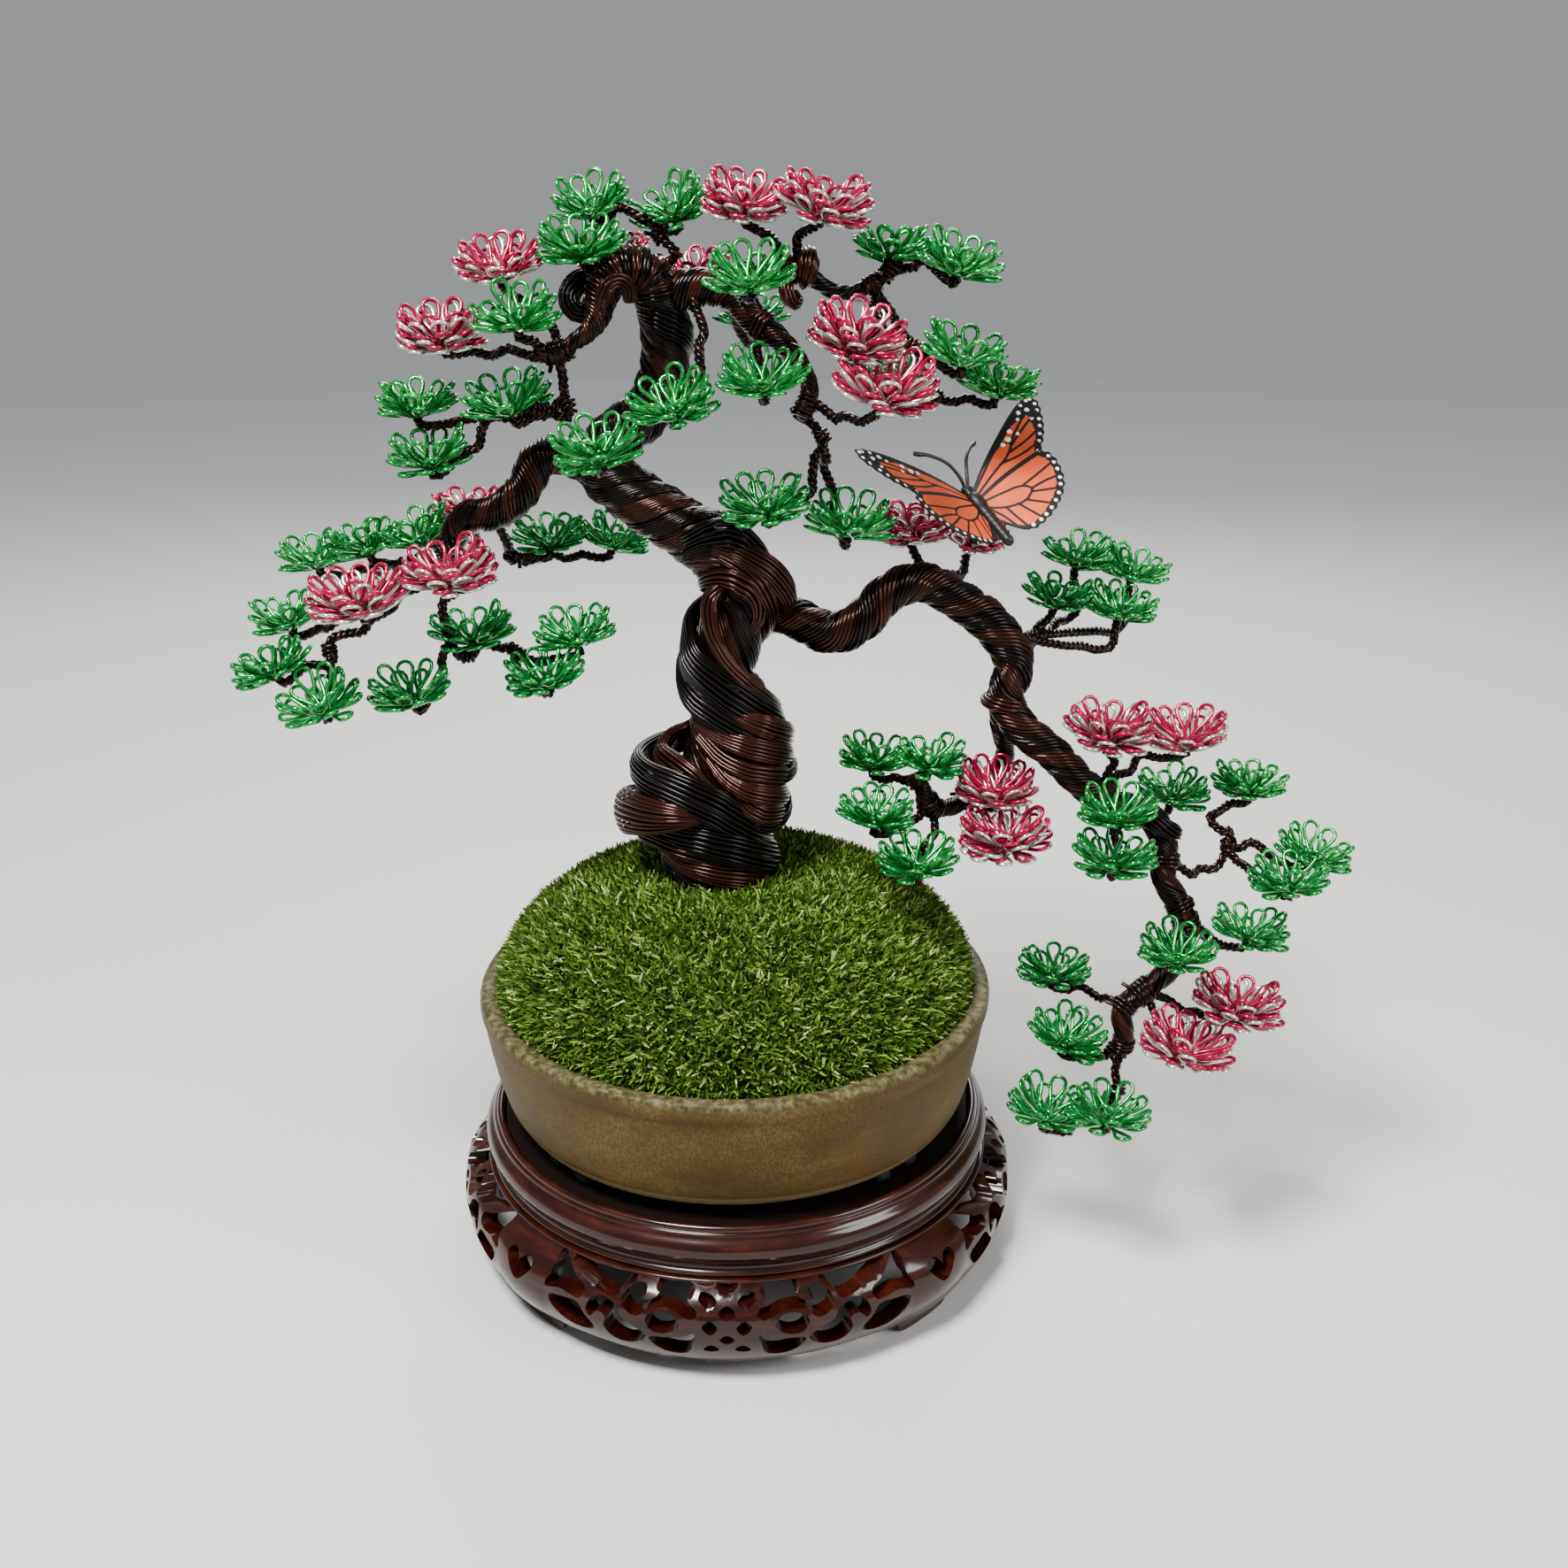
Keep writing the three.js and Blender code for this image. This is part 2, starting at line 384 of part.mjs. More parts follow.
// A bloom is two layers of blunt petals that grow from one hub: the upper layer is cupped and
// the lower lies flatter, turned by half a petal. Both are blades of one thickness.
function bloomSolid([, centre, diameter, tilt, lean], neighbour) {
  const reach = diameter / 2;
  const pitch = (2 * Math.PI) / PETALS;
  const vertices = [];
  const triangles = [];
  const put = (turnShare, radius, height) => {
    const angle = turnShare * pitch;
    vertices.push(radius * Math.cos(angle), radius * Math.sin(angle), height);
    return vertices.length / 3 - 1;
  };
  const circle = (offset, radius, height) => Array.from({ length: PETALS }, (_, index) => (
    put(index + offset, radius * reach, height)));
  const layer = (offset, tipRadius, tipHeight, rootHeight) => {
    const valleys = circle(offset, 0.34, rootHeight * reach - BLADE / 2);
    return [0, BLADE].map((drop) => [valleys, ...[0.2, 0.8].map((share) => (
      circle(offset + share, tipRadius, tipHeight * reach - drop)))]);
  };
  const neck = circle(0, 0.2, 0);
  const upperLayer = layer(0, 0.82, 0.6, 0.24);
  const lowerLayer = layer(-0.5, 1, 0.12, 0);
  const hubTop = put(0, 0, 0.1 * reach);
  const hubUnder = put(0, 0, -BLADE);
  const rim = (faces, index, next) => {
    const [top, under] = faces.map(([valley, left, right]) => (
      [valley[index], left[index], right[index], valley[next]]));
    triangles.push(top[1], top[0], under[1]);
    triangles.push(top[2], top[1], under[1]);
    triangles.push(top[2], under[1], under[2]);
    triangles.push(top[3], top[2], under[2]);
    return { top, under };
  };
  for (let index = 0; index < PETALS; index += 1) {
    const next = (index + 1) % PETALS;
    const upper = rim(upperLayer, index, next);
    const lower = rim(lowerLayer, index, next);
    const neckHere = neck[index];
    const neckNext = neck[next];
    for (let edge = 0; edge < 3; edge += 1) {
      triangles.push(hubTop, upper.top[edge], upper.top[edge + 1]);
      triangles.push(hubUnder, lower.under[edge + 1], lower.under[edge]);
      triangles.push(neckHere, lower.top[edge], lower.top[edge + 1]);
    }
    triangles.push(neckHere, upper.under[1], upper.under[0]);
    triangles.push(neckHere, upper.under[2], upper.under[1]);
    triangles.push(neckNext, upper.under[3], upper.under[2]);
    triangles.push(neckHere, neckNext, upper.under[2]);
    triangles.push(neckHere, lower.top[3], neckNext);
  }
  const geometry = new THREE.BufferGeometry();
  geometry.setAttribute('position', new THREE.Float32BufferAttribute(vertices, 3));
  geometry.setIndex(triangles);
  const { hub, turn } = seat(centre, diameter, tilt, lean);
  if (neighbour) {
    const towards = new THREE.Vector3(...neighbour).sub(new THREE.Vector3(...centre));
    towards.applyQuaternion(turn.clone().invert());
    geometry.rotateZ(Math.atan2(towards.y, towards.x));
  }
  geometry.applyQuaternion(turn);
  geometry.translate(hub.x, hub.y, hub.z);
  return solid(geometry);
}

// The hub of a bloom and the turn that stands its axis up.
function seat(centre, diameter, tilt, lean) {
  const slope = (degrees) => Math.tan(THREE.MathUtils.degToRad(degrees));
  const axis = new THREE.Vector3(slope(lean), -slope(tilt), 1).normalize();
  const turn = new THREE.Quaternion().setFromUnitVectors(new THREE.Vector3(0, 0, 1), axis);
  const hub = new THREE.Vector3(...centre).addScaledVector(axis, -0.11 * diameter);
  return { hub, axis, turn };
}

// The wire ends that run from one bloom's hub to the next where their petals don't meet.
const LINK = 0.9;
function linkSolid([, centreA, diameterA, tiltA, leanA], [, centreB, diameterB, tiltB, leanB]) {
  const a = seat(centreA, diameterA, tiltA, leanA);
  const b = seat(centreB, diameterB, tiltB, leanB);
  const root = ({ hub, axis }, other, reach) => {
    const out = other.hub.clone().sub(hub);
    out.addScaledVector(axis, -out.dot(axis)).setLength(reach);
    return hub.clone().add(out).addScaledVector(axis, -BLADE / 2);
  };
  const ends = [root(a, b, 0.14 * diameterA), root(b, a, 0.14 * diameterB)];
  const middle = ends[0].clone().lerp(ends[1], 0.5);
  const points = [ends[0], middle, ends[1]];
  const route = points.map((point) => [...point.toArray(), LINK]);
  return bundle(route, { lobes: 3, sides: 3, lobe: 0, perSpan: 1, turn: 30 });
}

// A twig of three twisted wires: it leaves the bough and comes up under the bloom's hub.
const TWIG = 1.5;
function twigSolid([, centre, diameter, tilt, lean, , via]) {
  const { hub, axis } = seat(centre, diameter, tilt, lean);
  const under = (distance) => hub.clone().addScaledVector(axis, -distance);
  const points = [...via, under(BLADE + GAP + 4.5).toArray(), under(BLADE + GAP).toArray()];
  const route = points.map((point) => [...point, TWIG]);
  return bundle(route, { lobes: 3, sides: 3, lobe: 0, perSpan: 1, turn: 35 });
}

const ROPE = { lobes: 2, sides: 6, lobe: 0.14, perSpan: 1, turn: 50 };
let taken = trunkRoom;
for (const [name, { route, knots }] of Object.entries(BOUGHS)) {
  const strands = bundle(route, ROPE);
  const twigs = BLOOMS.filter(([, , , , , bough]) => bough === name).map(twigSolid);
  const wires = join([strands, ...knots.map((turn) => wrap(turn)), ...twigs]);
  node(name, whole(wires.subtract(taken)), darkWire);
  taken = taken.add(bundle(route, { ...ROPE, grow: GAP }));
}

for (const name of new Set(BLOOMS.map(([bloom]) => bloom))) {
  const group = BLOOMS.filter(([bloom]) => bloom === name);
  const solids = group.map((bloom, index) => {
    const neighbour = group.length > 1 ? group[index === 0 ? 1 : index - 1][1] : null;
    return bloomSolid(bloom, neighbour);
  });
  let cluster = solids[0];
  for (let index = 1; index < solids.length; index += 1) {
    cluster = cluster.add(solids[index]);
    if (cluster.decompose().length > 1) cluster = cluster.add(linkSolid(group[index - 1], group[index]));
  }
  node(name, cluster, name.startsWith('green') ? greenWire : pinkWire);
}

// Butterfly: a plastic body with antennae and a flat wing pair on each side, on a wire peg

const BUTTERFLY = { at: [79.5, 1, 263], heading: [-0.54, 0.58, 0.61], back: [0.4, -0.46, 0.79] };
const WING_LIFT = { right: 28, left: 10 };
const WING_THICK = 0.8;
const WING_OUTLINE = [
  [0, 4], [10, 11], [20, 17], [32, 23.4], [40.6, 25.2], [41.4, 21.6], [36.4, 12], [30, 5], [32, 0.6],
  [31, -6.6], [27, -12.4], [20, -16.6], [11.6, -18.4], [6, -15], [2.8, -10], [0, -5],
];
const heading = new THREE.Vector3(...BUTTERFLY.heading).normalize();
const back = new THREE.Vector3(...BUTTERFLY.back);
back.addScaledVector(heading, -back.dot(heading)).normalize();
const right = heading.clone().cross(back);
const place = new THREE.Matrix4().makeBasis(right, heading, back).setPosition(...BUTTERFLY.at);

function bodySolid(grow) {
  const profile = [[-18.6, 0], [-16, 1.3], [-8, 2], [-3, 1.5], [1, 2.4], [4.4, 1.7], [6.4, 1.6], [7.8, 0]];
  const points = profile.map(([along, radius]) => (
    new THREE.Vector2(radius === 0 ? 0 : radius + grow, along + Math.sign(along) * grow)));
  return solid(new THREE.LatheGeometry(points, 8));
}

function antennaSolid(side) {
  const route = [[side * 0.7, 6, 0.6, 0.5], [side * 3, 12, 3.6, 0.5], [side * 8, 19, 4.4, 0.5],
    [side * 10, 21.6, 4.2, 0.9]];
  return bundle(route, { lobes: 3, sides: 4, lobe: 0, perSpan: 1, turn: 0 });
}

function wingSolid(side, lift) {
  const shape = new THREE.Shape(WING_OUTLINE.map(([across, along]) => (
    new THREE.Vector2(side * across, along))));
  const geometry = new THREE.ExtrudeGeometry(shape, { depth: WING_THICK, bevelEnabled: false });
  geometry.translate(0, 0, 0.6);
  geometry.rotateY(-side * THREE.MathUtils.degToRad(lift));
  return solid(geometry).subtract(bodySolid(GAP));
}

const butterfly = {
  butterfly_body: [join([bodySolid(0), antennaSolid(1), antennaSolid(-1)]), bodyPlastic],
  butterfly_wing_right: [wingSolid(1, WING_LIFT.right), wingSheet],
  butterfly_wing_left: [wingSolid(-1, WING_LIFT.left), wingSheet],
};
for (const [name, [piece, material]] of Object.entries(butterfly)) {
  node(name, piece.transform(place.toArray()), material);
}

// The peg under the butterfly ends a gap short of its belly and a gap above the bough's loop.
const peg = bundle([[79.4, 2.4, 249.8, 0.8], [79.2, 2.2, 254, 0.8], [79, 1.4, 260.4, 0.8]], {
  lobes: 3, sides: 5, lobe: 0, perSpan: 1, turn: 0,
});
node('butterfly_peg', peg, darkWire);

const box = new THREE.Box3().setFromObject(bonsai);
const middle = box.getCenter(new THREE.Vector3());
bonsai.position.set(-middle.x, -middle.y, 0);

export default bonsai;
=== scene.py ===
# %% [markdown]
# # A craft-wire cherry bonsai
# The real thing is a small tree twisted from enamelled wire. It stands in a glazed pot of
# artificial turf, on a turned and pierced wooden stand, and a plastic butterfly sits on it.
#
# This lesson dresses a plain CAD model of it. First the model is loaded. It could be rebuilt
# from nothing here, but then the two would drift apart: every piece below is placed from it.

# %% Load the model
import json
import math

import bmesh
import bpy
import numpy as np
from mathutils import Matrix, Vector
from mathutils.geometry import delaunay_2d_cdt

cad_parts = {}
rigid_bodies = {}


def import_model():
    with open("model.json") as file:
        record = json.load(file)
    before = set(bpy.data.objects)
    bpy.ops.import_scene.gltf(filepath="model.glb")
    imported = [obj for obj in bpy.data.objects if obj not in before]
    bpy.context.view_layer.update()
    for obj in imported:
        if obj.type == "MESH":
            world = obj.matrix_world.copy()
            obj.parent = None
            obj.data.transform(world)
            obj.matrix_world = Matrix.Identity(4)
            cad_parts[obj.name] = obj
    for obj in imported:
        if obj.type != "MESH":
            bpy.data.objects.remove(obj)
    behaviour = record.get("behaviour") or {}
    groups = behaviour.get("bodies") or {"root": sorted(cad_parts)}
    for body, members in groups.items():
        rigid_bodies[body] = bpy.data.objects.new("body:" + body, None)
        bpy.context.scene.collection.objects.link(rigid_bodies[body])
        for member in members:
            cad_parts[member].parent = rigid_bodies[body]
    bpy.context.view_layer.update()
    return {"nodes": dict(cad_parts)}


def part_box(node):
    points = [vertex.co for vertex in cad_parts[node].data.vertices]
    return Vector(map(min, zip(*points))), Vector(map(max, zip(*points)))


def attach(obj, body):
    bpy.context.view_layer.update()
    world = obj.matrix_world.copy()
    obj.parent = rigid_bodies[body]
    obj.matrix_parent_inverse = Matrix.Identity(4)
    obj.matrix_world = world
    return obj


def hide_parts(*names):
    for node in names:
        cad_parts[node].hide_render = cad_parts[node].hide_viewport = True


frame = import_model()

print("nodes in the model:", len(frame["nodes"]))

# %% [markdown]
# Sizes are easiest to read in millimetres, counted from the axis of the pot, with the floor at
# height 0. Blender works in metres, so one helper turns such points into places in the scene.

# %% Millimetres from the pot's axis
MM = 0.001
FULL_TURN = 2 * math.pi
pot_low, pot_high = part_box("pot")
AXIS = np.array([(pot_low.x + pot_high.x) / 2, (pot_low.y + pot_high.y) / 2, 0])


def placed(points):
    """Points in millimetres from the pot's axis, as places in metres."""
    return np.asarray(points, float) * MM + AXIS


def mesh_of(name, points, faces=(), edges=()):
    """A mesh from points in millimetres from the pot's axis."""
    mesh = bpy.data.meshes.new(name)
    mesh.from_pydata(placed(points).tolist(), list(edges), list(faces))
    return mesh


print("pot axis at", AXIS.round(4))

# %% [markdown]
# A mesh can carry a value at each of its points, which Geometry Nodes and materials read by
# name. Meshes built from parts may have points that coincide and faces that look inwards. Both
# are mended before a mesh becomes a piece.

# %% Marks and repairs
def marked(mesh, **columns):
    """Stores a number or a direction at each point of a mesh, under the name given."""
    for name, values in columns.items():
        values = np.asarray(values, float)
        kind, key = ("FLOAT", "value") if values.ndim == 1 else ("FLOAT_VECTOR", "vector")
        mesh.attributes.new(name, kind, "POINT").data.foreach_set(key, values.ravel())
    return mesh


def healed(mesh, doubles=0.0):
    """Joins points closer than `doubles` metres and turns all faces outwards."""
    shape = bmesh.new()
    shape.from_mesh(mesh)
    if doubles:
        bmesh.ops.remove_doubles(shape, verts=shape.verts, dist=doubles)
    bmesh.ops.recalc_face_normals(shape, faces=shape.faces)
    loose = [vertex for vertex in shape.verts if not vertex.link_faces]
    bmesh.ops.delete(shape, geom=loose, context="VERTS")
    shape.to_mesh(mesh)
    shape.free()
    return mesh


print("helpers for meshes ready")

# %% [markdown]
# A finished piece is a mesh at its true place, and its object stays at the origin. The object
# could be moved into place instead, but then a pattern on object coordinates would slide.

# %% Pieces
def shown(name, data):
    """An object at the origin, linked to the scene."""
    thing = bpy.data.objects.new(name, data)
    bpy.context.scene.collection.objects.link(thing)
    return thing


def piece_of(name, mesh, smooth=True):
    """A piece that shows a mesh."""
    mesh.shade_smooth() if smooth else mesh.shade_flat()
    return shown(name, mesh)


def set_plain(name, drawn):
    """What an object's modifier or curve comes out as, as a plain piece in its stead."""
    graph = bpy.context.evaluated_depsgraph_get()
    mesh = bpy.data.meshes.new_from_object(drawn.evaluated_get(graph), depsgraph=graph)
    bpy.data.objects.remove(drawn)
    return piece_of(name, mesh)


print("helpers for pieces ready")

# %% [markdown]
# Parts of one make are joined, because each piece stands for one solid of the model. The last
# thing a piece gets is its finish and the body it rides on, and the model's solid that it
# stands for is hidden.

# %% Joining and dressing
def joined(name, pieces):
    """Several pieces as one."""
    first = pieces[0]
    if len(pieces) > 1:
        with bpy.context.temp_override(active_object=first, selected_editable_objects=pieces):
            bpy.ops.object.join()
    first.name = first.data.name = name
    return first


def dressed(piece, node, finish=None):
    """Gives a finished piece its finish, and its place in the model."""
    if finish:
        piece.data.materials.clear()
        piece.data.materials.append(finish.material)
    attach(piece, "root")
    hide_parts(node)
    return piece


def faces_in(*pieces):
    """How many faces some pieces have."""
    return sum(len(piece.data.polygons) for piece in pieces)


print("helpers for joining and dressing ready")

# %% [markdown]
# Materials and Geometry Nodes are both trees of nodes. Wiring each Math node by hand hides the
# idea in bookkeeping, so a small class lets sockets be added and multiplied like numbers.

# %% Sockets that can be calculated with
class Field:
    """A socket of a node tree. Maths on fields adds Math nodes to the tree."""

    def __init__(self, plan, socket):
        self.plan, self.socket = plan, socket

    def math(self, operation, *terms):
        inputs = dict(enumerate((self, *terms)))
        return self.plan.node("ShaderNodeMath", {"operation": operation}, inputs)

    def output(self, key):
        return Field(self.plan, self.socket.node.outputs[key])

    def between(self, low, high):
        return self.math("MAXIMUM", low).math("MINIMUM", high)

    def __add__(self, other):
        return self.math("ADD", other)

    __radd__ = __add__

    def __sub__(self, other):
        return self.math("SUBTRACT", other)

    def __rsub__(self, other):
        return (self * -1) + other

    def __mul__(self, other):
        return self.math("MULTIPLY", other)

    __rmul__ = __mul__

    def __truediv__(self, other):
        return self.math("DIVIDE", other)

    def __pow__(self, other):
        return self.math("POWER", other)


print("socket maths ready")

# %% [markdown]
# One class writes both kinds of tree. A single method adds a node, sets it and links it, so that
# a node takes one line, and the few kinds that return often get short names.

# %% A tree of nodes
class Plan:
    """A node tree that is being written."""

    def __init__(self, tree):
        self.tree = tree

    def node(self, kind, settings=None, inputs=None, output=0):
        """Adds a node: its settings first, then the values or links of its sockets."""
        made = self.tree.nodes.new(kind)
        for name, value in (settings or {}).items():
            if name == "stops":
                ramp = made.color_ramp
                while len(ramp.elements) < len(value):
                    ramp.elements.new(1)
                for element, (position, colour) in zip(ramp.elements, value):
                    element.position, element.color = position, colour
            else:
                setattr(made, name, value)
        for key, value in (inputs or {}).items():
            for one in value if isinstance(value, list) else [value]:
                if isinstance(one, Field):
                    self.tree.links.new(one.socket, made.inputs[key])
                else:
                    made.inputs[key].default_value = one
        return Field(self, made.outputs[output])

    def vector(self, operation, *terms, scale=None):
        inputs = dict(enumerate(terms))
        if scale is not None:
            inputs["Scale"] = scale
        return self.node("ShaderNodeVectorMath", {"operation": operation}, inputs)

    def xyz(self, x, y, z):
        return self.node("ShaderNodeCombineXYZ", {}, {0: x, 1: y, 2: z})


print("node trees ready")

# %% [markdown]
# ## Finishes
# A finish is a Principled shader. What is the same all over is set on the shader itself. What
# changes over the surface, such as mottling or wear, is linked to it.

# %% A finish to write into
class Finish(Plan):
    """A material with one Principled shader."""

    def __init__(self, name, **constants):
        self.material = bpy.data.materials.new(name)
        self.material.use_nodes = True
        super().__init__(self.material.node_tree)
        self.shader = self.tree.nodes["Principled BSDF"]
        for key, value in constants.items():
            self.shader.inputs[key.replace("_", " ")].default_value = value

    def feed(self, **fields):
        for key, field in fields.items():
            self.tree.links.new(field.socket, self.shader.inputs[key.replace("_", " ")])

    def mix(self, factor, first, second):
        inputs = {0: factor, 6: first, 7: second}
        return self.node("ShaderNodeMix", {"data_type": "RGBA"}, inputs, 2)

    def ramp(self, factor, *stops):
        return self.node("ShaderNodeValToRGB", {"stops": stops}, {0: factor})

    def place(self):
        return self.node("ShaderNodeTexCoord", output="Object")

    def stretched(self, x, y, z):
        return self.node("ShaderNodeMapping", {}, {0: self.place(), "Scale": (x, y, z)})

    def noise(self, scale, detail=3, vector=None, rough=0.5):
        inputs = {"Scale": scale, "Detail": detail, "Roughness": rough}
        inputs["Vector"] = vector or self.place()
        return self.node("ShaderNodeTexNoise", {}, inputs)

    def attribute(self, name):
        return self.node("ShaderNodeAttribute", {"attribute_name": name}, output="Fac")

    def bump(self, height, strength, distance):
        inputs = {"Strength": strength, "Distance": distance, "Height": height}
        return self.node("ShaderNodeBump", {}, inputs, "Normal")


print("finish class ready")

# %% [markdown]
# The trunk's wire is enamelled copper in two colours, a near black and a warm brown that lets
# the copper glow. There could be a finish for each, but the wires change colour strand by
# strand. So each wire carries its own tone from the step that lays it, and one finish reads it.
# The enamel is thin, so its gloss is uneven.

# %% Enamelled wire
BLACK_ENAMEL = (0.0022, 0.0024, 0.0026, 1)
BROWN_ENAMEL = (0.041, 0.0115, 0.0063, 1)
TARNISH = (0.006, 0.003, 0.002, 1)
bark = Finish("bark_wire", Metallic=0.6, Specular_IOR_Level=0.2, Coat_Weight=0.1,
              Coat_Roughness=0.08)
TARNISHED = 0.45
GLOSSIEST, GLOSS_RANGE = 0.11, 0.18
patches = bark.noise(260)
enamel = bark.mix(bark.attribute("tone"), BLACK_ENAMEL, BROWN_ENAMEL)
bark.feed(Base_Color=bark.mix(patches * TARNISHED, enamel, TARNISH),
          Roughness=patches * GLOSS_RANGE + GLOSSIEST)
print("finish", bark.material.name)

# %% [markdown]
# The blooms are coloured wire: bright green, deep pink and plain silver. Coloured wire is a dyed
# metal, so its highlights keep their colour. Plastic-covered wire would show white highlights
# instead. Light scuffs make the gloss uneven, and one function makes all three alike.

# %% Coloured wire
def coloured_wire(name, colour, deep, metallic):
    """Dyed wire whose colour sinks to a deeper one in its scuffs."""
    wire = Finish(name, Metallic=metallic, Specular_IOR_Level=0.25, Coat_Weight=0.15,
                  Coat_Roughness=0.08)
    scuffs = wire.noise(420, 2)
    wire.feed(Base_Color=wire.mix(scuffs, colour, deep), Roughness=scuffs * GLOSS_RANGE + 0.1)
    return wire.material


GREEN_WIRE = coloured_wire("green_wire", (0.022, 0.40, 0.08, 1), (0.002, 0.11, 0.014, 1), 0.75)
PINK_WIRE = coloured_wire("pink_wire", (0.52, 0.010, 0.085, 1), (0.18, 0.001, 0.016, 1), 0.65)
SILVER_WIRE = coloured_wire("silver_wire", (0.78, 0.73, 0.71, 1), (0.50, 0.43, 0.41, 1), 0.8)
print("finishes", GREEN_WIRE.name, PINK_WIRE.name, SILVER_WIRE.name)

# %% [markdown]
# ## Wire laid along a route
# The trunk and boughs are bundles of wire twisted together. Each wire could be modelled alone,
# but they all follow one rule: they run round a common route at a steady rate. Geometry Nodes
# copy the route once for each wire and push every copy to its place in the bundle.

# %% A Geometry Nodes tree
SOCKET = {float: "NodeSocketFloat", int: "NodeSocketInt", str: "NodeSocketMaterial"}


class Recipe(Plan):
    """A Geometry Nodes tree with named inputs."""

    def __init__(self, name, **inputs):
        super().__init__(bpy.data.node_groups.new(name, "GeometryNodeTree"))
        sockets = self.tree.interface
        sockets.new_socket("Geometry", in_out="INPUT", socket_type="NodeSocketGeometry")
        for label, kind in inputs.items():
            sockets.new_socket(label, in_out="INPUT", socket_type=SOCKET[kind])
        sockets.new_socket("Geometry", in_out="OUTPUT", socket_type="NodeSocketGeometry")
        self.given = self.tree.nodes.new("NodeGroupInput")
        self.result = self.tree.nodes.new("NodeGroupOutput")

    def input(self, name):
        return Field(self, self.given.outputs[name])

    def named(self, attribute, kind="FLOAT"):
        inputs = {"Name": attribute}
        return self.node("GeometryNodeInputNamedAttribute", {"data_type": kind}, inputs)

    def chance(self, low, high, number, seed):
        inputs = {2: low, 3: high, "ID": number, "Seed": seed}
        return self.node("FunctionNodeRandomValue", {"data_type": "FLOAT"}, inputs, 1)

    def store(self, geometry, name, value, domain="POINT"):
        settings = {"data_type": "FLOAT", "domain": domain}
        inputs = {0: geometry, "Name": name, "Value": value}
        return self.node("GeometryNodeStoreNamedAttribute", settings, inputs)

    def moved(self, geometry, **shift):
        return self.node("GeometryNodeSetPosition", {}, {0: geometry, **shift})

    def standing(self, direction):
        inputs = {"Vector": direction}
        return self.node("FunctionNodeAlignRotationToVector", {"axis": "Z"}, inputs)

    def tube(self, curve, radius, sides=5):
        inputs = {"Resolution": sides, "Radius": 1.0}
        ring = self.node("GeometryNodeCurvePrimitiveCircle", {"mode": "RADIUS"}, inputs)
        inputs = {0: curve, 1: ring, "Scale": radius, "Fill Caps": True}
        return self.node("GeometryNodeCurveToMesh", {}, inputs)

    def finish(self, *geometry):
        """Ends the tree in real geometry that wears the material given."""
        whole = self.node("GeometryNodeJoinGeometry", {}, {0: list(geometry)})
        real = self.node("GeometryNodeRealizeInstances", {}, {0: whole})
        inputs = {0: real, "Material": self.input("Material")}
        painted = self.node("GeometryNodeSetMaterial", {}, inputs)
        self.tree.links.new(painted.socket, self.result.inputs[0])
        print("recipe", self.tree.name, len(self.tree.nodes), "nodes")


print("recipe class ready")

# %% [markdown]
# A recipe is run as a modifier on a mesh. Its inputs are set by their identifiers, because two
# inputs may share a name. The result is kept as a plain mesh, and the object with the modifier
# is thrown away, since a live modifier would not survive the export.

# %% Grow a piece from a recipe
def grown(name, mesh, recipe, **values):
    """What a recipe makes of a mesh, as a plain piece. Lengths in millimetres end in _mm."""
    seed = shown(name, mesh)
    modifier = seed.modifiers.new(name, "NODES")
    modifier.node_group = recipe.tree
    for item in recipe.tree.interface.items_tree:
        if item.in_out == "INPUT" and item.name in values:
            value = values[item.name]
            modifier[item.identifier] = value * MM if item.name.endswith("_mm") else value
    return set_plain(name, seed)


print("helper for growing ready")

# %% [markdown]
# The recipe for a bundle. The route carries two values at each point: how far the bundle
# reaches, and which way is out. A wire's angle round the route grows with its number and with
# the length run.

# %% Recipe for a bundle: a copy of the route for each wire
bundle = Recipe("wire_bundle", Wires=int, Wire_mm=float, Step_mm=float, Twist=float, Start=float,
                Strands=int, Hollow=float, Flat=float, Stray=float, Tones=float, Seed=int,
                Material=str)
wire = bundle.input("Wire_mm")
line = bundle.node("GeometryNodeMeshToCurve", {}, {0: bundle.input("Geometry")})
line = bundle.node("GeometryNodeResampleCurve", {"mode": "LENGTH"},
                   {0: line, "Length": bundle.input("Step_mm")})
copies = bundle.node("GeometryNodeDuplicateElements", {"domain": "SPLINE"},
                     {0: line, "Amount": bundle.input("Wires")})
number = copies.output(1)
share = number / bundle.input("Wires")
run = bundle.node("GeometryNodeSplineParameter", output="Length")
angle = (share + run * bundle.input("Twist") + bundle.input("Start")) * FULL_TURN
print("bundle so far:", len(bundle.tree.nodes), "nodes")

# %% [markdown]
# A lobed outline groups the wires in strands: the reach dips between two strands by the share
# called Hollow. Flat squeezes the bundle into a band. Stray lets each wire wander a little from
# its place, since no hand lays wire dead even.

# %% Recipe for a bundle: each wire goes to its place
WANDER_SCALE = 60.0
WIRES_APART = 3.7
LOBE_ROUNDNESS = 0.8
STRAY_SEED = 3

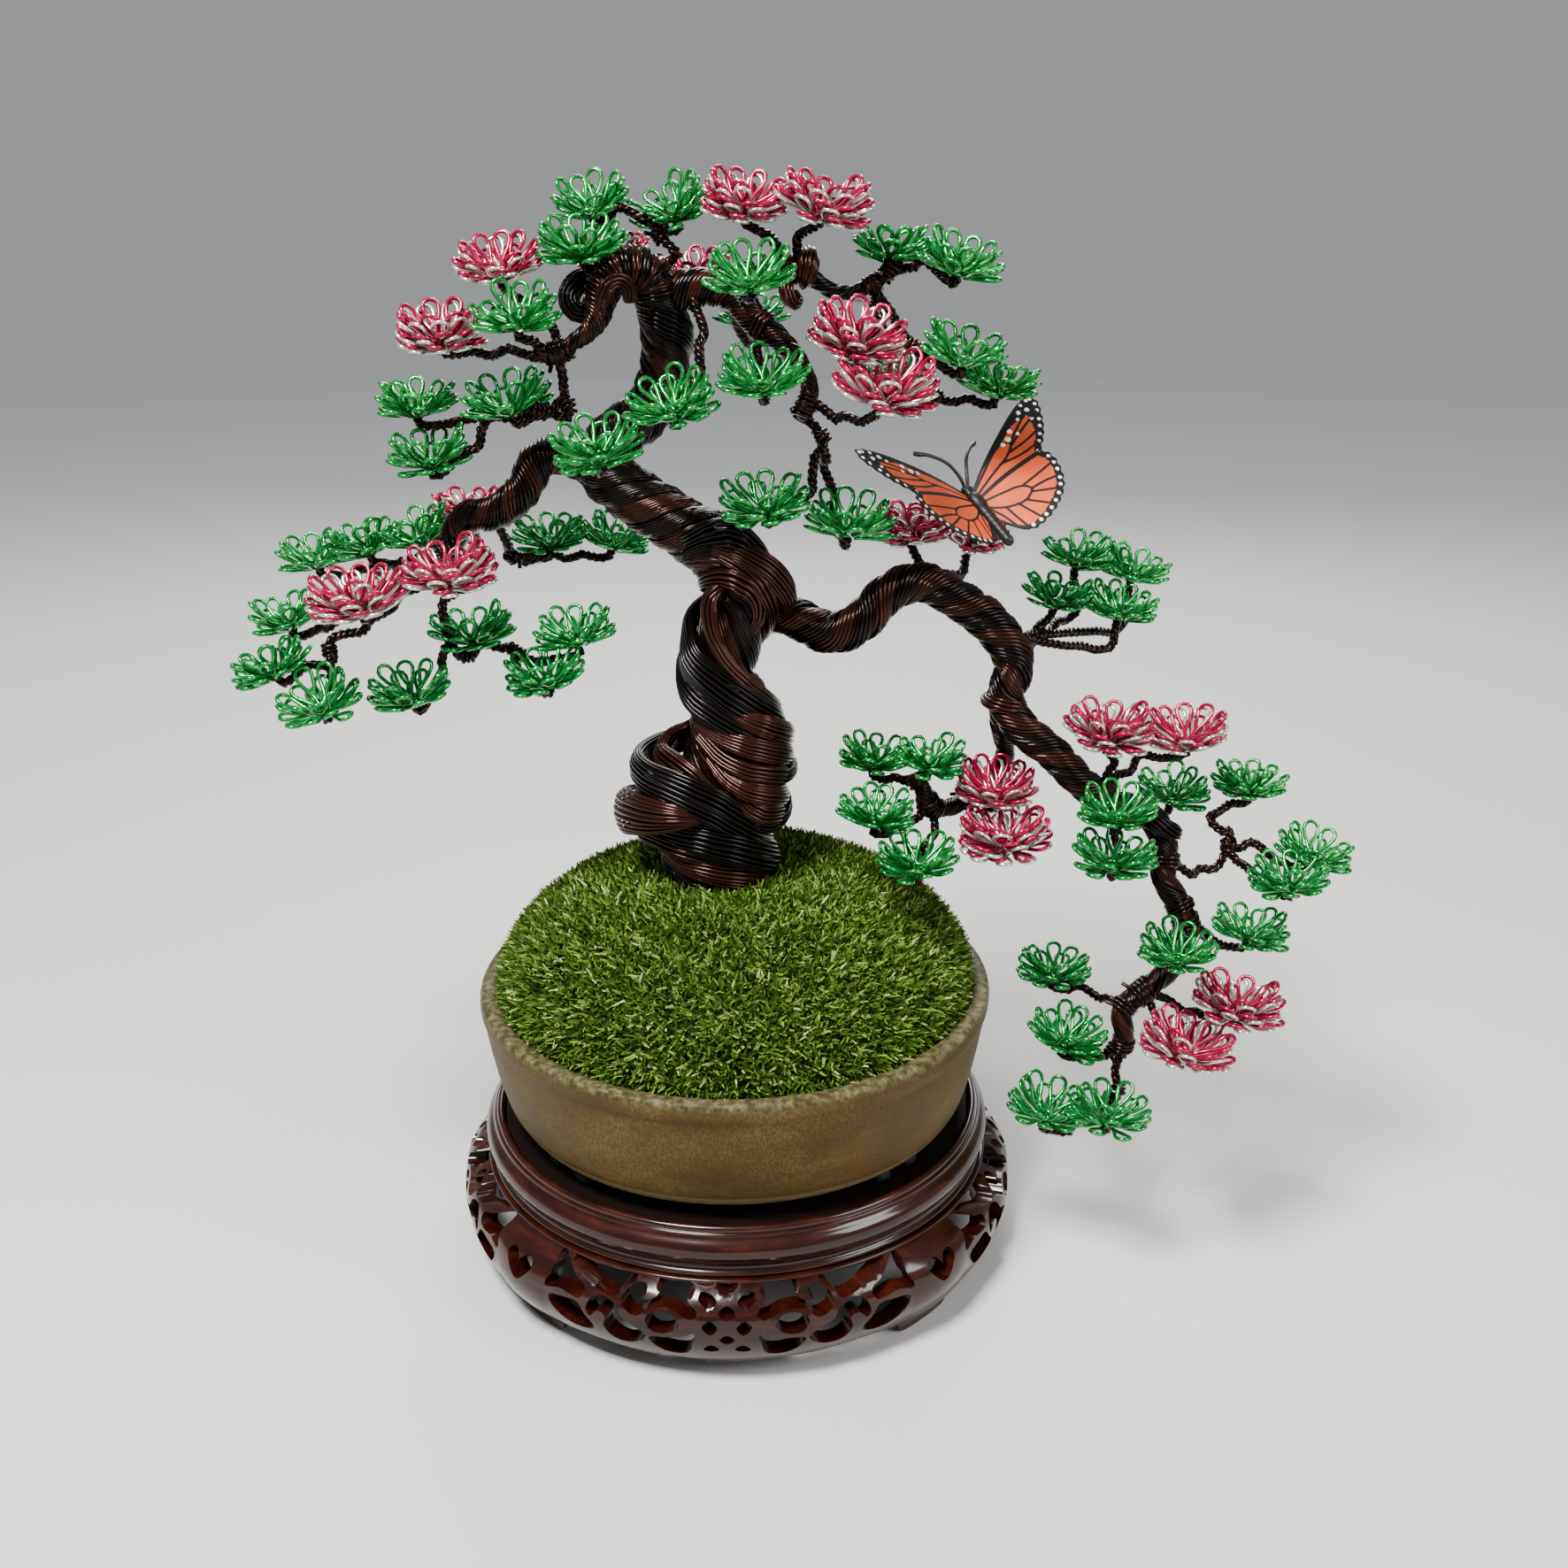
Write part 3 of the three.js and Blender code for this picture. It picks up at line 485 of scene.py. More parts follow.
along = bundle.node("GeometryNodeInputTangent")
side = bundle.vector("CROSS_PRODUCT", along, bundle.named("out", "FLOAT_VECTOR"))
side = bundle.vector("NORMALIZE", side)
out = bundle.vector("CROSS_PRODUCT", side, along)
strand = share * bundle.input("Strands")
crest = (strand * math.pi).math("SINE").math("ABSOLUTE")
phase = number * WIRES_APART + bundle.input("Seed")
wander = bundle.node("ShaderNodeTexNoise", {"noise_dimensions": "4D"},
                     {"Scale": WANDER_SCALE, "Detail": 1.0, "W": phase})
wander = wander - 0.5 + bundle.chance(-0.5, 0.5, number, STRAY_SEED)
stray = wander * bundle.input("Stray") * wire
depth = 1 - bundle.input("Hollow") * (1 - crest ** LOBE_ROUNDNESS)
reach = bundle.named("reach") * depth - wire * 0.5 + stray
outwards = angle.math("COSINE") * reach * bundle.input("Flat")
offset = bundle.vector("ADD", bundle.vector("SCALE", out, scale=outwards),
                       bundle.vector("SCALE", side, scale=angle.math("SINE") * reach))
wires = bundle.moved(copies, Offset=offset)
print("bundle so far:", len(bundle.tree.nodes), "nodes")

# %% [markdown]
# Every wire stores its tone, by its strand, by chance, or by a share of both. A core along the
# route keeps the light from showing between the wires.

# %% Recipe for a bundle: tones, tubes and core
STRAND_SHARE = 0.75
CORE_UNDER_WIRE = 0.85
LEAST_CORE = 0.05 * MM
CORE_SIDES = 8

by_strand = (strand + 0.01).math("FLOOR").math("MODULO", 2.0)
by_wire = bundle.chance(0.0, 1.0, number, bundle.input("Seed"))
tones = bundle.input("Tones")
tone = by_strand * STRAND_SHARE + by_wire * (1 - STRAND_SHARE)
wires = bundle.store(wires, "tone", tone * (1 - tones) + by_wire * tones, "CURVE")
inner_reach = bundle.named("reach") * (1 - bundle.input("Hollow"))
core = (inner_reach - wire * CORE_UNDER_WIRE) * bundle.input("Flat")
bundle.finish(bundle.tube(line, core.math("MAXIMUM", LEAST_CORE), CORE_SIDES),
              bundle.tube(wires, wire * 0.5))

# %% [markdown]
# A route is a short list of points with a radius. A Bezier curve needs handles at each point,
# so the routes are drawn smooth by a spline that just passes through all of them. The outward
# direction is carried along without turning, so that only the twist that is asked for shows.

# %% Smooth lines
TO_THE_FRONT = (0, -1, 0.01)


def flowing(points, pieces=6):
    """A smooth line through points of x, y, z and more columns, in millimetres."""
    points = np.array(points, float)
    points = np.vstack([2 * points[0] - points[1], points, 2 * points[-1] - points[-2]])
    line = []
    for before, start, end, after in zip(points, points[1:], points[2:], points[3:]):
        pairs = ((before, start), (start, end), (end, after))
        a, b, c = (max(np.linalg.norm(q[:3] - p[:3]) ** 0.5, 1e-3) for p, q in pairs)
        leave = b * ((start - before) / a - (end - before) / (a + b) + (end - start) / b)
        arrive = b * ((end - start) / b - (after - start) / (b + c) + (after - end) / c)
        for t in np.arange(pieces) / pieces:
            line.append(start * (2 * t ** 3 - 3 * t ** 2 + 1) + leave * (t ** 3 - 2 * t ** 2 + t)
                        + end * (3 * t ** 2 - 2 * t ** 3) + arrive * (t ** 3 - t ** 2))
    line.append(points[-2])
    return np.array(line)


def outward(line):
    """A direction across a line at each point, carried along without turning."""
    across = np.array(TO_THE_FRONT)
    result = []
    for along in np.gradient(line[:, :3], axis=0):
        along = along / np.linalg.norm(along)
        across = across - along * across.dot(along)
        across = across / np.linalg.norm(across)
        result.append(across)
    return result


def run_along(line):
    """How far each point of a line is from its start, measured along it."""
    return np.r_[0, np.cumsum(np.linalg.norm(np.diff(line[:, :3], axis=0), axis=1))]


print("helpers for smooth lines ready")

# %% [markdown]
# Many routes can be one mesh of edges, because the recipe treats each unbroken line as a route
# of its own. The values below are those of the trunk's wire, and each rope changes a few.

# %% Ropes
def route_mesh(name, lines, outs=None):
    """The routes as one mesh of edges, with the values that the bundle recipe reads."""
    edges, first = [], 0
    for line in lines:
        edges += [(i, i + 1) for i in range(first, first + len(line) - 1)]
        first += len(line)
    points = np.vstack(lines)
    outs = outs or [outward(line) for line in lines]
    return marked(mesh_of(name, points[:, :3], edges=edges), reach=points[:, 3] * MM,
                  out=np.vstack(outs))


BARK = {"Wire_mm": 1.35, "Step_mm": 3.0, "Strands": 4, "Hollow": 0.16, "Flat": 1.0,
        "Stray": 0.35, "Tones": 0.0, "Start": 0.0, "Material": bark.material}


def rope(name, lines, outs=None, **values):
    """Bark wire along each of the lines."""
    return grown(name, route_mesh(name, lines, outs), bundle, **{**BARK, **values})


print("helpers for ropes ready")

# %% [markdown]
# ## Trunk
# The real trunk is one thick rope that is bent to shape, and flat bands of wire are wound round
# its foot. The rope is laid first in two lengths, because fewer wires go up to the crown than
# come out of the pot. Twist is in turns a metre, and the minus sign makes the wires fall from
# upper left to lower right.

# %% The trunk's rope
TRUNK = [(-7, -6, 126, 13), (-8, -6, 140, 15.5), (-8, -5, 154, 15), (-5, -2, 167, 15),
         (-2, 0, 181, 14.6), (-0.5, 1, 195, 13.6), (-4.5, 1, 208, 12), (-0.5, 0, 221, 12),
         (4, 0, 234, 12), (-3, 2, 247, 11.2), (-17, 6, 256, 10.2), (-33, 10, 266, 9.6),
         (-42, 14, 274, 9.2), (-38, 18, 282, 9), (-27, 20, 290, 8.6), (-21, 20, 302, 8.4),
         (-20, 18, 316, 8.4), (-22, 14, 328, 8), (-25, 11, 336, 6.4)]
FOOT_END, TOP_START = 58, 48
trunk_line = flowing(TRUNK)
trunk_pieces = [
    rope("trunk_foot", [trunk_line[:FOOT_END]], Wires=60, Twist=-14.0, Strands=5, Seed=1),
    rope("trunk_top", [trunk_line[TOP_START:]], Wires=42, Twist=-24.0, Strands=5, Seed=2,
         Start=0.3),
]
print("trunk rope:", faces_in(*trunk_pieces), "faces")

# %% [markdown]
# The bands are the same recipe with a flat section: wires side by side that hug the trunk. They
# could be one long wound strip, but the real ones cross and overlap as a hand laid them. So each
# row below is an enamel and a route of its own: x, y, height and half the band's width. From the
# top: the neck, the bands that fall across the front, and the lump of loops at the lower left.

# %% Routes of the bands
BANDS = [
    ("black", [(-27, 20, 321, 3), (-26, 12.6, 322, 4), (-20, 9.6, 320, 5), (-14, 12.6, 316, 4.6),
               (-13, 20, 312, 4)]),
    ("brown", [(-9, -6, 240, 2.2), (-3, -12, 243, 3), (4, -15, 241, 3.4), (8, -14, 237, 3.2),
               (9, -12, 230, 2.4), (6.4, -10, 224, 1.2)]),
    ("brown", [(-5, -8, 252, 2.8), (4, -12, 250, 3.8), (13, -12, 244, 4.4), (18, -8, 236, 4.4),
               (18, -2, 229, 4.2), (14, 8, 223, 3.6)]),
    ("brown", [(-3, -10, 249, 2.6), (5, -13, 245, 3.4), (10.4, -14, 239, 3.6), (13, -10, 231, 3.4),
               (12, -2, 224, 3)]),
    ("black", [(-14, -3, 251, 3.2), (-7, -9, 256, 4.4), (1, -11, 256, 4.6), (8, -8, 250, 3.8),
               (12, 0, 243, 3)]),
    ("brown", [(-3, -10, 240, 2.4), (-7, -12, 236, 3), (-7.4, -14, 230, 3.2), (-5.5, -15, 222, 2.8),
               (-1.5, -16.5, 215, 2.6), (4.5, -17, 209, 2.6), (11, -12, 202, 2.8),
               (15, 0, 195, 2.6)]),
    ("black", [(-13, 2, 226, 4), (-14, -6, 221, 4.6), (-13, -12, 215, 5.6), (-6, -16.5, 209, 6.2),
               (2, -18, 203, 6.4), (10, -15, 197, 6), (15, -2, 190, 5)]),
    ("black", [(-15, 4, 214, 3.6), (-16, -5, 209, 4.4), (-12, -13, 203, 5.2), (-5, -17, 199, 5.2),
               (4, -19, 194, 4.8), (11, -16, 190, 4.2), (14, -4, 185, 4)]),
    ("brown", [(-4, -17, 201, 2), (4, -20, 198, 2.8), (10, -21, 196, 3.6), (17, -13, 191, 4),
               (18, 0, 186, 4), (11, 11, 182, 3.6)]),
    ("brown", [(-12, -12, 194, 2.6), (-4, -18, 191, 3), (5, -22, 189, 3.4), (15, -17, 185, 3.6),
               (18.5, -4, 180, 3.6), (13, 10, 177, 3.2)]),
    ("brown", [(-11, -13, 190, 2.6), (-4, -19, 184, 3), (5, -23, 181, 3.2), (14.6, -18, 178, 3.4),
               (17.6, -5, 174, 3.4), (12, 9, 171, 3.2)]),
    ("brown", [(-8, -15, 183, 2.4), (-1.6, -21, 177, 3), (6, -24, 174, 3.4), (14, -19, 171, 3.6),
               (16.8, -6, 167, 3.6), (11.5, 9, 164, 3.2)]),
    ("brown", [(-4, -17, 177, 2.2), (2.5, -22, 171, 2.8), (8, -24, 167, 3.2), (14, -18, 164.6, 3.2),
               (15.6, -6, 161, 3.2), (8, 6, 158, 3)]),
    ("black", [(6.7, -19, 181, 1.6), (14.4, -18, 177, 2), (19.4, -11, 176.5, 2.2),
               (19.6, -3, 178, 2.2), (14.8, 5, 179, 2)]),
    ("black", [(3.3, -19, 170, 1.6), (6, -20, 163, 2.1), (11, -17, 159.4, 2.3),
               (16.6, -13, 161, 2.3), (18.4, -7, 165, 2.2), (15.5, 0, 169, 2)]),
    ("brown", [(-12, 6, 189, 2.4), (-20, 4, 185, 4), (-24, -4, 180.5, 5.4), (-19.5, -11, 178, 6.2),
               (-13, -17, 175, 5.4), (-8, -20, 169, 4.4), (-4, -20, 164, 3)]),
    ("black", [(-22, -11, 172, 2.4), (-28.6, -6, 170, 4.6), (-30.6, 3, 168, 5.8),
               (-24, 11.6, 167, 5.8), (-13, 14.6, 168, 5), (-2, 13, 171, 3.4)]),
    ("black", [(-6, 14, 181, 4), (-17, 14, 180, 4.4), (-27, 7, 179, 5), (-32, -4, 177.4, 5.4),
               (-28, -15, 176, 6.2), (-18, -22, 173.6, 6.8), (-8, -25, 170, 6.6), (0, -23, 164, 6),
               (7, -17, 157, 5.4), (11, -5, 151, 4.8), (6, 8, 147, 4)]),
    ("brown", [(-7.5, -23, 165.6, 1.8), (-16.6, -25, 166, 3.8), (-26.2, -21, 165, 6.2),
               (-33.6, -12, 163, 7.4), (-37, -1, 160, 7.8), (-34, 10, 158, 7), (-22, 17, 158, 5),
               (-8, 18, 160, 4)]),
    ("black", [(-28, 0, 153, 3.4), (-25, -10, 155, 4), (-18.7, -18, 156.4, 5), (-10, -23, 156.6, 6),
               (0, -23, 154, 6.4), (8.6, -17, 149, 6.4), (13, -5, 143, 6), (9, 8, 139, 5)]),
    ("brown", [(-32, -4, 152, 1.6), (-26, -14, 153.4, 2.2), (-18.7, -20, 152.6, 2.8),
               (-11, -22, 151, 2.6), (-5, -22, 149.6, 2)]),
    ("brown", [(-22, -12, 148, 2.6), (-16.3, -18.6, 146.4, 3.2), (-8.7, -22, 145.6, 4.2),
               (0, -21.6, 144, 4.6), (8, -16, 141, 4.6), (11.4, -4, 138, 4)]),
    ("black", [(-22, 4, 142, 4), (-21.6, -8, 141, 4.6), (-14, -17, 139, 5), (-4, -19, 137, 5),
               (4, -15, 135, 4.4)]),
]
print(len(BANDS), "bands")

# %% [markdown]
# Out is away from the trunk's own line, so that a band lies flat on it all the way round. Its
# tones are shifted towards one of the two enamels.

# %% Tones and directions of the bands
TONES = {"black": (0.0, 0.1), "brown": (0.75, 0.25), "mixed": (0.0, 0.9)}
SAG_MM, LEVEL_SHARE = 2, 0.15


def toned(piece, shade):
    """Gives the wires of a piece one of the two enamels, each a little off the next."""
    base, spread = TONES[shade]
    field = piece.data.attributes["tone"].data
    values = np.empty(len(field))
    field.foreach_get("value", values)
    field.foreach_set("value", base + spread * values)
    return piece


def away_from_trunk(line):
    """Directions from the trunk's line to each point of a band."""
    core = trunk_line[trunk_line[:, 2].argsort()]
    nearest = [core[np.abs(core[:, 2] - point[2] - SAG_MM).argmin()] for point in line]
    out = line[:, :3] - np.array(nearest)[:, :3]
    out[:, 2] *= LEVEL_SHARE
    return out / np.linalg.norm(out, axis=1)[:, None]


print("a band's wires have tones", TONES)

# %% [markdown]
# A band that stops at the trunk's side would show its cut end from behind. It could be pressed
# flat there, but the maker winds it on. So it goes on round the back, a step at a time, ever
# closer to the trunk's line, and sinks in under the wires of the rope. Bands that end on the
# trunk's front are left as they are: in the photo those ends lie open.

# %% Ends tucked in behind
TUCK_FROM, TUCK_TO = 136, 262
FRONT_Y = -7
TUCK_SWING = 0.62
TUCK_SHARES = (0.55, 0.15, -0.1, -0.5)
STEEPEST_FALL = 6


def core_at(height):
    """Where the trunk's line passes a height, and how far its rope reaches there."""
    return [np.interp(height, trunk_line[:, 2], trunk_line[:, i]) for i in (0, 1, 3)]


def tucked(points):
    """A band carried on from its last point round the trunk's back, and in under the rope."""
    points = [*points]
    (x_before, y_before, z_before, _), (x, y, z, half) = points[-2:]
    if y < FRONT_Y or not TUCK_FROM < z < TUCK_TO:
        return points
    core_x, core_y, reach = core_at(z)
    angle = math.atan2(y - core_y, x - core_x)
    before = math.atan2(y_before - core_y, x_before - core_x)
    turned_by = (angle - before + math.pi) % FULL_TURN - math.pi
    fall = np.clip((z - z_before) / abs(turned_by), -STEEPEST_FALL, STEEPEST_FALL)
    lift = math.hypot(x - core_x, y - core_y) - reach
    for step, share in enumerate(TUCK_SHARES, 1):
        swing = math.copysign(TUCK_SWING * step, turned_by)
        height = z + fall * abs(swing)
        core_x, core_y, reach = core_at(height)
        radius = reach + (max(lift, 1) if share > 0 else half) * share
        points.append((core_x + radius * math.cos(angle + swing),
                       core_y + radius * math.sin(angle + swing), height, half))
    return points


print("a tucked end has", len(TUCK_SHARES), "points more")

# %% [markdown]
# The bands are wound on from the top down, each turned a little against the last, so that no
# two look copied. Wide ones get more wires. Both ends are tucked in, and the points are turned
# round for the second one.

# %% Wind the bands
WOUND = {"Wire_mm": 1.2, "Twist": 1.5, "Strands": 2, "Hollow": 0.0, "Flat": 0.5, "Stray": 0.7,
         "Tones": 1.0}
LEAST_WIRES, WIRES_A_MM = 6, 4.2
TURNED_BY = 0.13
for index, (shade, points) in enumerate(BANDS):
    line = flowing(tucked(tucked(points)[::-1])[::-1])
    count = max(LEAST_WIRES, round(line[:, 3].mean() * WIRES_A_MM))
    band = rope(f"band_{index}", [line], [away_from_trunk(line)], Wires=count, Seed=30 + index,
                Start=TURNED_BY * index, **WOUND)
    trunk_pieces.append(toned(band, shade))
trunk = joined("trunk_wire", trunk_pieces)
print(trunk.name, faces_in(trunk), "faces")

# %% [markdown]
# ## Boughs and twigs
# A bough is a thinner rope of two enamels. Each row below gives its twist in turns a metre, and
# its route of x, y, height and radius, from where it leaves the trunk to its tip.

# %% Routes of the boughs
BOUGHS = {
    "left": (-46.0, [
        (-43, 13, 273, 6.6), (-54, 10, 278, 6.4), (-61, 4, 277, 6.2), (-66, 0, 268, 6),
        (-75, 2, 261, 5.8), (-84, 5, 259, 5.6), (-90, 8, 252, 5)]),
    "crown_left": (-72.0, [
        (-22, 13, 326, 7.6), (-26, 11, 333, 7.8), (-31, 6, 335, 7.4), (-36, 1, 333, 6.8),
        (-38.5, -3, 327.5, 5.6), (-39.5, -5, 322, 4.2), (-42, -6, 317.5, 3.2),
        (-46.5, -6, 314.5, 2.7), (-51, -6, 311.5, 3), (-59, -6, 310.5, 2.3)]),
    "crown_right": (-50.0, [
        (-16, 14, 328, 6.6), (-7, 12, 329, 6.2), (2, 8, 327, 5.6), (8, 4, 320, 4.6),
        (15, 0, 315, 3.8), (22, -4, 307, 3.2), (25, -6, 299, 2.8), (22, -8, 292, 2.6)]),
    "right": (-50.0, [
        (7, 12, 331, 4.4), (17, 12, 334, 4.4), (23, 11, 334, 3.4), (28, 11, 331, 2.6),
        (33, 12, 328, 2.4), (38.6, 12, 327.6, 2.3), (45, 12, 330, 2.3), (50, 12, 333.6, 2.2),
        (52.6, 13, 338, 2)]),
    "cascade": (-30.0, [
        (10, 2, 230, 7), (21, 0, 226, 7), (33, -4, 222, 7.2), (43, -5, 227, 7), (51, -3, 235, 6.8),
        (62, 0, 238, 6.8), (75, 2, 231, 7), (87, 2, 222, 7.2), (94, 0, 210, 7), (91, -2, 199, 6.4),
        (96, -6, 190, 6.2), (107, -8, 181, 6), (118, -8, 170, 5.8), (131, -4, 161, 5.4),
        (145, 0, 154, 5.2), (149, -3, 144, 4.8), (149, -5, 134, 4.6), (155, -7, 124, 4.4),
        (158, -9, 113, 4.2), (152, -13, 103, 4), (143, -16, 96, 4), (134, -20, 90, 3.8),
        (135, -23, 82, 3.4), (134, -22, 74, 3)]),
    "inner": (-52.0, [
        (90, 0, 193, 3.8), (92, 8, 184, 3.6), (95, 14, 173, 3.4), (88, 14, 162, 3.4),
        (78, 8, 157, 3.2), (69, 2, 158, 3.2), (65, -1, 165, 3.2), (62, 1, 171, 3)]),
}
print(len(BOUGHS), "boughs")

# %% [markdown]
# Where a bloom sits, a few of the bough's wires leave it as a twig. Each row below is a bloom:
# the piece it belongs to, its centre, its width, its tilt to the front and lean to the right in
# degrees, its bough, and the points that its twig passes on the way.

